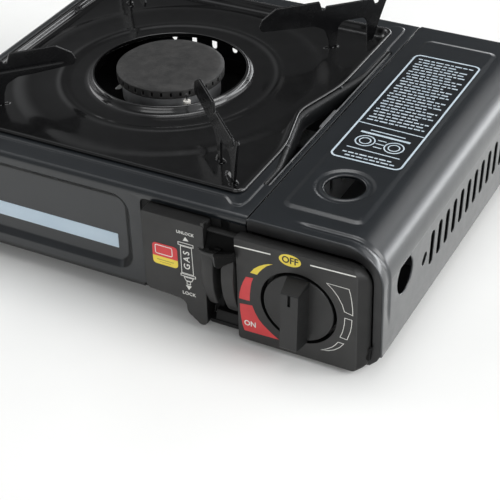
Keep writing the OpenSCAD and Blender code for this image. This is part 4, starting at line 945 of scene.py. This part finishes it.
def words(text, size, put, h0, h1, name, mat, body, bold=0.0, shear=0.0, sx=1.0, space=1.0):
    """Lettering from the built-in font, as a thin printed layer."""
    cu = bpy.data.curves.new(name + "_src", "FONT")
    cu.body = text
    cu.size = size
    cu.align_x = "CENTER"
    cu.align_y = "CENTER"
    cu.offset = bold
    cu.shear = shear
    cu.space_character = space
    cu.resolution_u = 3
    src = bpy.data.objects.new(name + "_src", cu)
    bpy.context.scene.collection.objects.link(src)
    dg = bpy.context.evaluated_depsgraph_get()
    dg.update()
    me = src.evaluated_get(dg).to_mesh()
    verts = [(v.co.x * sx, v.co.y) for v in me.vertices]
    faces = [tuple(p.vertices) for p in me.polygons]
    src.evaluated_get(dg).to_mesh_clear()
    bpy.data.objects.remove(src)
    bpy.data.curves.remove(cu)
    # merge the font's triangles, then give the layer its thickness
    nm = bpy.data.meshes.new(name)
    nm.from_pydata([tuple(c * S for c in put(x, y, h1)) for x, y in verts], [], faces)
    bm = bmesh.new()
    bm.from_mesh(nm)
    bmesh.ops.remove_doubles(bm, verts=bm.verts, dist=0.002 * S)
    res = bmesh.ops.extrude_face_region(bm, geom=bm.faces[:])
    d = Vector(put(0, 0, h0)) - Vector(put(0, 0, h1))
    for el in res["geom"]:
        if isinstance(el, bmesh.types.BMVert):
            el.co += d * S
    bmesh.ops.recalc_face_normals(bm, faces=bm.faces)
    bm.to_mesh(nm)
    bm.free()
    ob = bpy.data.objects.new(name, nm)
    bpy.context.scene.collection.objects.link(ob)
    nm.materials.append(mat)
    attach(ob, body)
    return ob


def print_mesh(name, mat, body, fn):
    b = Build()
    fn(b)
    ob = b.make(name, mat, body, smooth=False, merge=0.002)
    return ob


def patch(b, outline, put, h0, h1):
    outline = ccw(clean(outline))
    b.bridge([put(u, v, h0) for u, v in outline], [put(u, v, h1) for u, v in outline])
    b.fill(outline, [], lambda u, v: put(u, v, h0))
    b.fill(outline, [], lambda u, v: put(u, v, h1))


H0, H1 = PF - 0.015, PF - 0.07


def panel_prints():
    def white(b):
        stroke(b, [(81.6, 71.4), (105.4, 72.3)], 0.85, put_front, H0, H1)
        stroke(b, [(130.8, 72.4), (159.4, 73.2)], 0.85, put_front, H0, H1)
        # three outlined fields on the right, from large to small
        stroke(b, [(141.2, 63.0), (155.3, 63.0), (156.4, 58.9), (157.1, 54.6), (157.7, 49.8), (157.9, 44.9), (152.6, 46.0), (151.2, 50.6), (148.3, 55.8), (145.0, 59.8)], 0.38, put_front, H0, H1, True)
        stroke(b, [(152.9, 41.5), (157.4, 41.4), (157.2, 37.2), (156.6, 32.9), (154.5, 25.9), (150.0, 26.4), (151.3, 29.9), (152.1, 33.4), (152.7, 37.4)], 0.38, put_front, H0, H1, True)
        stroke(b, [(148.7, 22.2), (152.5, 22.2), (149.9, 18.6), (146.5, 15.6), (142.4, 13.6), (137.8, 12.6), (141.6, 14.6), (145.1, 17.3), (147.1, 19.6)], 0.38, put_front, H0, H1, True)

    print_mesh("print_white_lines", WHITE, "body", white)

    def yellow(b):
        patch(b, [(117.9 + 7.1 * math.cos(t * math.pi / 24), 71.6 + 4.1 * math.sin(t * math.pi / 24)) for t in range(48)], put_front, H0, H1)
        # tapered wedge along the knob's upper left
        up = [(91.7, 54.9), (94.2, 58.5), (97.4, 61.3), (101.1, 63.6), (104.0, 64.9), (106.8, 65.5)]
        lo = [(104.8, 64.4), (102.6, 62.9), (100.1, 60.2), (98.0, 57.6), (96.3, 54.8)]
        patch(b, up + lo, put_front, H0, H1)

    print_mesh("print_yellow", YELLOW, "body", yellow)
    words("OFF", 6.4, lambda x, y, h: (118.0 + x, h, 71.5 + y), H1 - 0.01, H1 - 0.05, "print_off", INK, "body", bold=0.14, sx=0.95)

    def red(b):
        patch(b, [(88.7, 50.9), (93.6, 51.4), (92.3, 47.6), (91.6, 43.5), (91.0, 38.6), (90.8, 33.5), (83.6, 33.4), (84.1, 38.0), (85.2, 42.5), (86.8, 46.9)], put_front, H0, H1)
        patch(b, [(84.0, 29.7), (92.4, 30.6), (94.1, 26.0), (96.4, 21.8), (99.0, 18.7), (101.9, 16.2), (105.7, 13.2), (109.9, 10.5), (98.0, 10.2), (86.5, 10.0), (85.3, 14.3), (84.6, 18.9), (84.1, 24.3)], put_front, H0, H1)

    print_mesh("print_red", RED, "body", red)
    words("ON", 5.4, lambda x, y, h: (90.6 + x, h, 16.1 + y), H1 - 0.01, H1 - 0.05, "print_on", WHITE, "body", bold=0.12, sx=0.95)

    def gas(b):
        lw = 0.42
        # outline of a canister standing on its nozzle
        stroke(b, [(44.7, 60.3), (52.3, 60.3), (52.5, 50.0), (52.7, 40.3), (44.6, 40.3), (44.6, 50.0)], lw, put_front, H0, H1, True)
        stroke(b, [(43.2, 62.8), (53.5, 62.8), (53.5, 60.9), (43.2, 60.9)], lw, put_front, H0, H1, True)
        stroke(b, [(43.9, 39.6), (54.0, 39.6), (54.0, 38.1), (43.9, 38.1)], lw, put_front, H0, H1, True)
        stroke(b, [(46.0, 37.5), (52.4, 37.5), (51.1, 35.0), (47.2, 35.0)], lw, put_front, H0, H1, True)
        stroke(b, [(47.8, 34.6), (50.2, 34.6), (50.2, 32.4), (47.8, 32.4)], lw, put_front, H0, H1, True)
        patch(b, [(46.6, 64.5), (50.6, 64.9), (48.4, 67.6)], put_front, H0, H1)
        patch(b, [(46.9, 31.5), (48.9, 28.3), (51.0, 31.5)], put_front, H0, H1)

    print_mesh("print_canister_symbol", WHITE, "body", gas)
    words("GAS", 6.0, lambda x, y, h: (48.7 - y, h, 50.4 + x), H1 - 0.01, H1 - 0.05, "print_gas", WHITE, "body", bold=0.10, space=1.40)
    words("UNLOCK", 2.95, lambda x, y, h: (48.4 + x, h, 70.0 + y), H0, H1, "print_unlock", WHITE, "body", bold=0.07, space=1.10, sx=0.92)
    words("LOCK", 3.3, lambda x, y, h: (48.8 + x, h, 25.2 + y), H0, H1, "print_lock", WHITE, "body", bold=0.07, space=1.08)

    # plain two-colour sticker with rounded corners
    b = Build()
    full = rrect(24.8, 42.2, 42.1, 57.6, 2.4, 6)
    h0, h1 = PF - 0.005, PF - 0.22

    def clip(pts, z, above):
        out = []
        m = len(pts)
        for i in range(m):
            p, q = pts[i], pts[(i + 1) % m]
            pin = (p[1] >= z) == above
            qin = (q[1] >= z) == above
            if pin:
                out.append(p)
            if pin != qin:
                t = (z - p[1]) / (q[1] - p[1])
                out.append((p[0] + t * (q[0] - p[0]), z))
        return clean(out)

    cut = 48.0
    for k, up in ((0, True), (1, False)):
        b.mat = k
        o = clip(full, cut, up)
        b.bridge([put_front(u, v, h0) for u, v in o], [put_front(u, v, h1 + 0.04) for u, v in o])
        b.bridge([put_front(u, v, h1 + 0.04) for u, v in o], [put_front(u, v, h1) for u, v in grow(ccw(o), -0.06)])
        b.fill(grow(ccw(o), -0.06), [], lambda u, v: put_front(u, v, h1))
        b.fill(ccw(o), [], lambda u, v: put_front(u, v, h0))
    ob = b.make("sticker", [RED, YELLOW], "body", smooth=False, merge=0.001)
    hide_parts("panel_label")

    def plain(b2):
        stroke(b2, rrect(26.9, 38.6, 49.9, 56.2, 1.0, 4), 0.55, put_front, h1, h1 - 0.03, True)

    print_mesh("sticker_frame", WHITE, "body", plain)

    def bars(b2):
        stroke(b2, [(27.6, 45.6), (39.4, 45.6)], 0.7, put_front, h1, h1 - 0.03)
        stroke(b2, [(29.6, 44.0), (37.4, 44.0)], 0.45, put_front, h1, h1 - 0.03)

    print_mesh("sticker_bars", material("print_ochre", (0.42, 0.33, 0.03), (0.50, 0.40, 0.05), rough=(0.34, 0.44), patch=90), "body", bars)


def lid_prints():
    z0 = TOP + 1.0

    def put(u, v, h):
        return (u, v, h)

    b = Build()
    out = rrect(98.4, 146.9, -41.6, 104, 5.2, 8)
    b.emboss(out, [(0, z0 + 0.005), (0, z0 + 0.10), (-0.12, z0 + 0.13)], put)
    b.fill(grow(out, -0.12), [], lambda u, v: put(u, v, z0 + 0.13))
    b.fill(out, [], lambda u, v: put(u, v, z0 + 0.005))
    ob = b.make("label_plate", LABEL, "lid", sharp=40)
    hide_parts("lid_label")
    zt0, zt1 = z0 + 0.13, z0 + 0.17

    def lines(c):
        stroke(c, grow(out, -0.9), 1.3, put, zt0, zt1, True)
        stroke(c, [(99.8, 3.3), (145.6, 1.8)], 0.9, put, zt0, zt1)
        # plain ruled bars in place of words: small ones below the divider, long ones above it
        for k, (x0, x1, y) in enumerate(((108, 141, -37.0), (105, 138.5, -33.6))):
            x = x0
            j = 0
            while x < x1:
                w = (3.4, 2.2, 4.4, 2.8, 3.8, 2.0, 5.0)[(k * 3 + j) % 7]
                stroke(c, [(x, y), (min(x + w, x1), y)], 1.2, put, zt0, zt1)
                x += w + 0.9
                j += 1
        y = 8.8
        k = 0
        while y < 98:
            x, x1 = 103.0 + (1.5 if k % 3 == 2 else 0), 142.5 - (9.0 if k % 4 == 3 else (2.5 if k % 2 else 0))
            j = 0
            while x < x1 - 1.0:
                w = (4.2, 2.6, 5.4, 3.4, 2.0, 4.8, 3.0)[(k * 2 + j) % 7]
                stroke(c, [(x, y), (min(x + w, x1), y)], 1.25, put, zt0, zt1)
                x += w + 1.0
                j += 1
            y += 3.7
            k += 1
        # a plain geometric motif in the lower panel: nested rings between stacked bars
        for cx_, cy_ in ((113.0, -17.0), (133.0, -18.0)):
            stroke(c, circle(cx_, cy_, 6.2, 28), 0.9, put, zt0, zt1, True)
            stroke(c, circle(cx_, cy_, 3.6, 24), 0.8, put, zt0, zt1, True)
        stroke(c, [(105, -27.4), (141, -28.4)], 0.9, put, zt0, zt1)
        stroke(c, [(106, -7.2), (140, -8.2)], 1.9, put, zt0, zt1)
        stroke(c, [(111, -3.4), (135, -4.1)], 1.0, put, zt0, zt1)
        for q in (-21.6, -17.4, -13.2):
            stroke(c, [(120.2, q), (126.0, q - 0.2)], 0.9, put, zt0, zt1)

    print_mesh("label_print", PALE, "lid", lines)


def strip():
    b = Build()
    o = rrect(-140, -8.8, 33.9, 44.6, 0.5, 3)
    b.emboss(o, [(0, -121.5), (0, -121.72), (-0.08, -121.8)], put_front)
    b.fill(grow(o, -0.08), [], lambda u, v: put_front(u, v, -121.8))
    b.fill(o, [], lambda u, v: put_front(u, v, -121.5))
    ob = b.make("front_strip", STRIP, "body", sharp=40)
    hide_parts("badge_strip")


# --------------------------------------------------------------- CAD nodes
def dress_nodes():
    """Materials and softened edges for the CAD pieces that stay."""
    table = {
        BLACKP: ["base_pan"],
        GALV: ["partition_wall", "valve_bracket", "mixing_tube", "burner_bracket", "can_saddle_front", "can_saddle_rear", "hinge_bracket_front", "hinge_bracket_rear", "clamp_guide",
               "clamp_slide", "electrode_clip"],
        ZINC: ["panel_screws", "regulator_spring", "gas_pipe", "burner_screws", "electrode_wire", "lid_hinge_pins", "lever_pivot_pin", "base_screws", "arm_rivets"],
        BRASS: ["valve_body", "can_socket", "jet_nozzle", "knob_shaft"],
        CAST: ["regulator_body", "regulator_cap", "burner_base"],
        IRON: ["burner_cap"],
        RUBBER: ["foot_front_left", "foot_front_right", "foot_rear_left", "foot_rear_right", "regulator_diaphragm", "socket_seal"],
        ALU: ["heat_plate"],
        CERAMIC: ["spark_electrode"],
        SLEEVE: ["ignition_lead"],
        KNOB: ["piezo_igniter"],
        NAVY: ["end_plate_rear"],
    }
    for mat, names in table.items():
        for n in names:
            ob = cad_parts[n]
            ob.data.materials.clear()
            ob.data.materials.append(mat)
    for n in ("burner_cap", "burner_base", "regulator_body", "regulator_cap", "foot_front_left", "foot_front_right", "foot_rear_left", "foot_rear_right", "hinge_bracket_front", "hinge_bracket_rear",
              "can_saddle_front", "can_saddle_rear", "clamp_slide", "valve_body", "base_pan"):
        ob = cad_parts[n]
        we = ob.modifiers.new("weld", "WELD")
        we.merge_threshold = 0.00001
        be = ob.modifiers.new("edges", "BEVEL")
        be.width = 0.0003
        be.segments = 2
        be.limit_method = "ANGLE"
        be.angle_limit = math.radians(40)


shell()
lid()
tray()
pan_arms()
panel()
end_plate()
knob()
lever()
panel_prints()
lid_prints()
strip()
dress_nodes()

# ------------------------------------------------------------ floor and light
fl = Build()
fl.rows([[(x * 200, y * 200, -0.05) for x in range(-12, 13)] for y in range(-12, 13)])
FLOOR = material("pale_table", (0.85, 0.85, 0.835), (0.88, 0.88, 0.865), rough=(0.5, 0.6), patch=8, grain=900, bump=0.02, spec=0.3)
me = bpy.data.meshes.new("floor")
me.from_pydata(fl.v, [], fl.f)
floor = bpy.data.objects.new("floor", me)
me.materials.append(FLOOR)
bpy.context.scene.collection.objects.link(floor)


def area(name, loc, target, size, power, color=(1, 1, 1)):
    li = bpy.data.lights.new(name, "AREA")
    li.shape = "RECTANGLE"
    li.size, li.size_y = size
    li.energy = power
    li.color = color
    ob = bpy.data.objects.new(name, li)
    ob.location = loc
    d = Vector(target) - Vector(loc)
    ob.rotation_euler = d.to_track_quat("-Z", "Y").to_euler()
    bpy.context.scene.collection.objects.link(ob)
    return ob


area("top", (-0.1, 0.5, 2.4), (0.0, 0.1, 0.0), (1.2, 1.2), 13)
area("front", (0.3, -2.2, 1.2), (0.0, -0.1, 0.0), (1.8, 0.8), 9)
area("left", (-2.0, 0.1, 1.2), (0.0, -0.2, 0.0), (1.4, 1.2), 12)
area("right", (1.9, 0.1, 1.2), (0.35, 0.1, 0.0), (1.4, 1.2), 27)
area("far", (1.5, 2.0, 1.5), (1.45, 1.95, 0.0), (1.8, 1.8), 13)

world = bpy.data.worlds.new("studio")
bpy.context.scene.world = world
world.use_nodes = True
wt = world.node_tree
bg = wt.nodes["Background"]
wtc = wt.nodes.new("ShaderNodeTexCoord")


def lobe(direction, lo, hi):
    """Soft patch of sky round a direction, 0..1."""
    dn = wt.nodes.new("ShaderNodeVectorMath")
    dn.operation = "DOT_PRODUCT"
    wt.links.new(wtc.outputs["Generated"], dn.inputs[0])
    dn.inputs[1].default_value = Vector(direction).normalized()
    mr = wt.nodes.new("ShaderNodeMapRange")
    mr.interpolation_type = "SMOOTHSTEP"
    mr.inputs["From Min"].default_value = lo
    mr.inputs["From Max"].default_value = hi
    wt.links.new(dn.outputs["Value"], mr.inputs["Value"])
    return mr.outputs["Result"]


def weigh(val, k):
    m = wt.nodes.new("ShaderNodeMath")
    m.operation = "MULTIPLY"
    wt.links.new(val, m.inputs[0])
    m.inputs[1].default_value = k
    return m.outputs[0]


def plus(a, b):
    m = wt.nodes.new("ShaderNodeMath")
    m.operation = "ADD"
    wt.links.new(a, m.inputs[0])
    if isinstance(b, float):
        m.inputs[1].default_value = b
    else:
        wt.links.new(b, m.inputs[1])
    return m.outputs[0]


def low_only(val):
    """Fades a patch of sky out above the horizon."""
    sp = wt.nodes.new("ShaderNodeSeparateXYZ")
    wt.links.new(wtc.outputs["Generated"], sp.inputs[0])
    mr = wt.nodes.new("ShaderNodeMapRange")
    mr.interpolation_type = "SMOOTHSTEP"
    mr.inputs["From Min"].default_value = 0.27
    mr.inputs["From Max"].default_value = 0.0
    wt.links.new(sp.outputs["Z"], mr.inputs["Value"])
    m = wt.nodes.new("ShaderNodeMath")
    m.operation = "MULTIPLY"
    wt.links.new(val, m.inputs[0])
    wt.links.new(mr.outputs["Result"], m.inputs[1])
    return m.outputs[0]


sky = plus(weigh(low_only(lobe((0.58, 0.81, 0.0), 0.5, 0.9)), 7.5), 0.092)
sky = plus(sky, weigh(lobe((0.3, -1.0, 0.0), 0.3, 0.95), 0.35))
sky = plus(sky, weigh(lobe((-0.1, 0.15, 1.0), 0.80, 0.99), 0.6))
sky = plus(sky, weigh(lobe((1.0, 0.1, 0.5), 0.5, 0.97), 0.9))
sky = plus(sky, weigh(lobe((-1.0, 0.0, 0.45), 0.6, 0.97), 0.45))
wt.links.new(sky, bg.inputs["Strength"])
bg.inputs["Color"].default_value = (0.97, 0.985, 1.0, 1)

# --------------------------------------------------------------------- camera
cam_data = bpy.data.cameras.new("camera")
cam_data.lens = 104.76
cam_data.sensor_width = 36
cam_data.clip_start = 0.01
cam = bpy.data.objects.new("camera", cam_data)
a_, p_, r_ = math.radians(28.41), math.radians(35.42), math.radians(-1.83)
right = Vector((math.cos(a_), math.sin(a_), 0))
fwd = Vector((-math.sin(a_) * math.cos(p_), math.cos(a_) * math.cos(p_), -math.sin(p_)))
upv = right.cross(fwd)
down = -upv
c_, s_ = math.cos(r_), math.sin(r_)
row0 = right * c_ - down * s_
row1 = right * s_ + down * c_
ax, ay, az = row0, -row1, -fwd

cam.matrix_world = Matrix(((ax.x, ay.x, az.x, 0.4205), (ax.y, ay.y, az.y, -0.7422), (ax.z, ay.z, az.z, 0.5623), (0, 0, 0, 1)))
bpy.context.scene.collection.objects.link(cam)
bpy.context.scene.camera = cam
bpy.context.scene.view_settings.view_transform = "Standard"
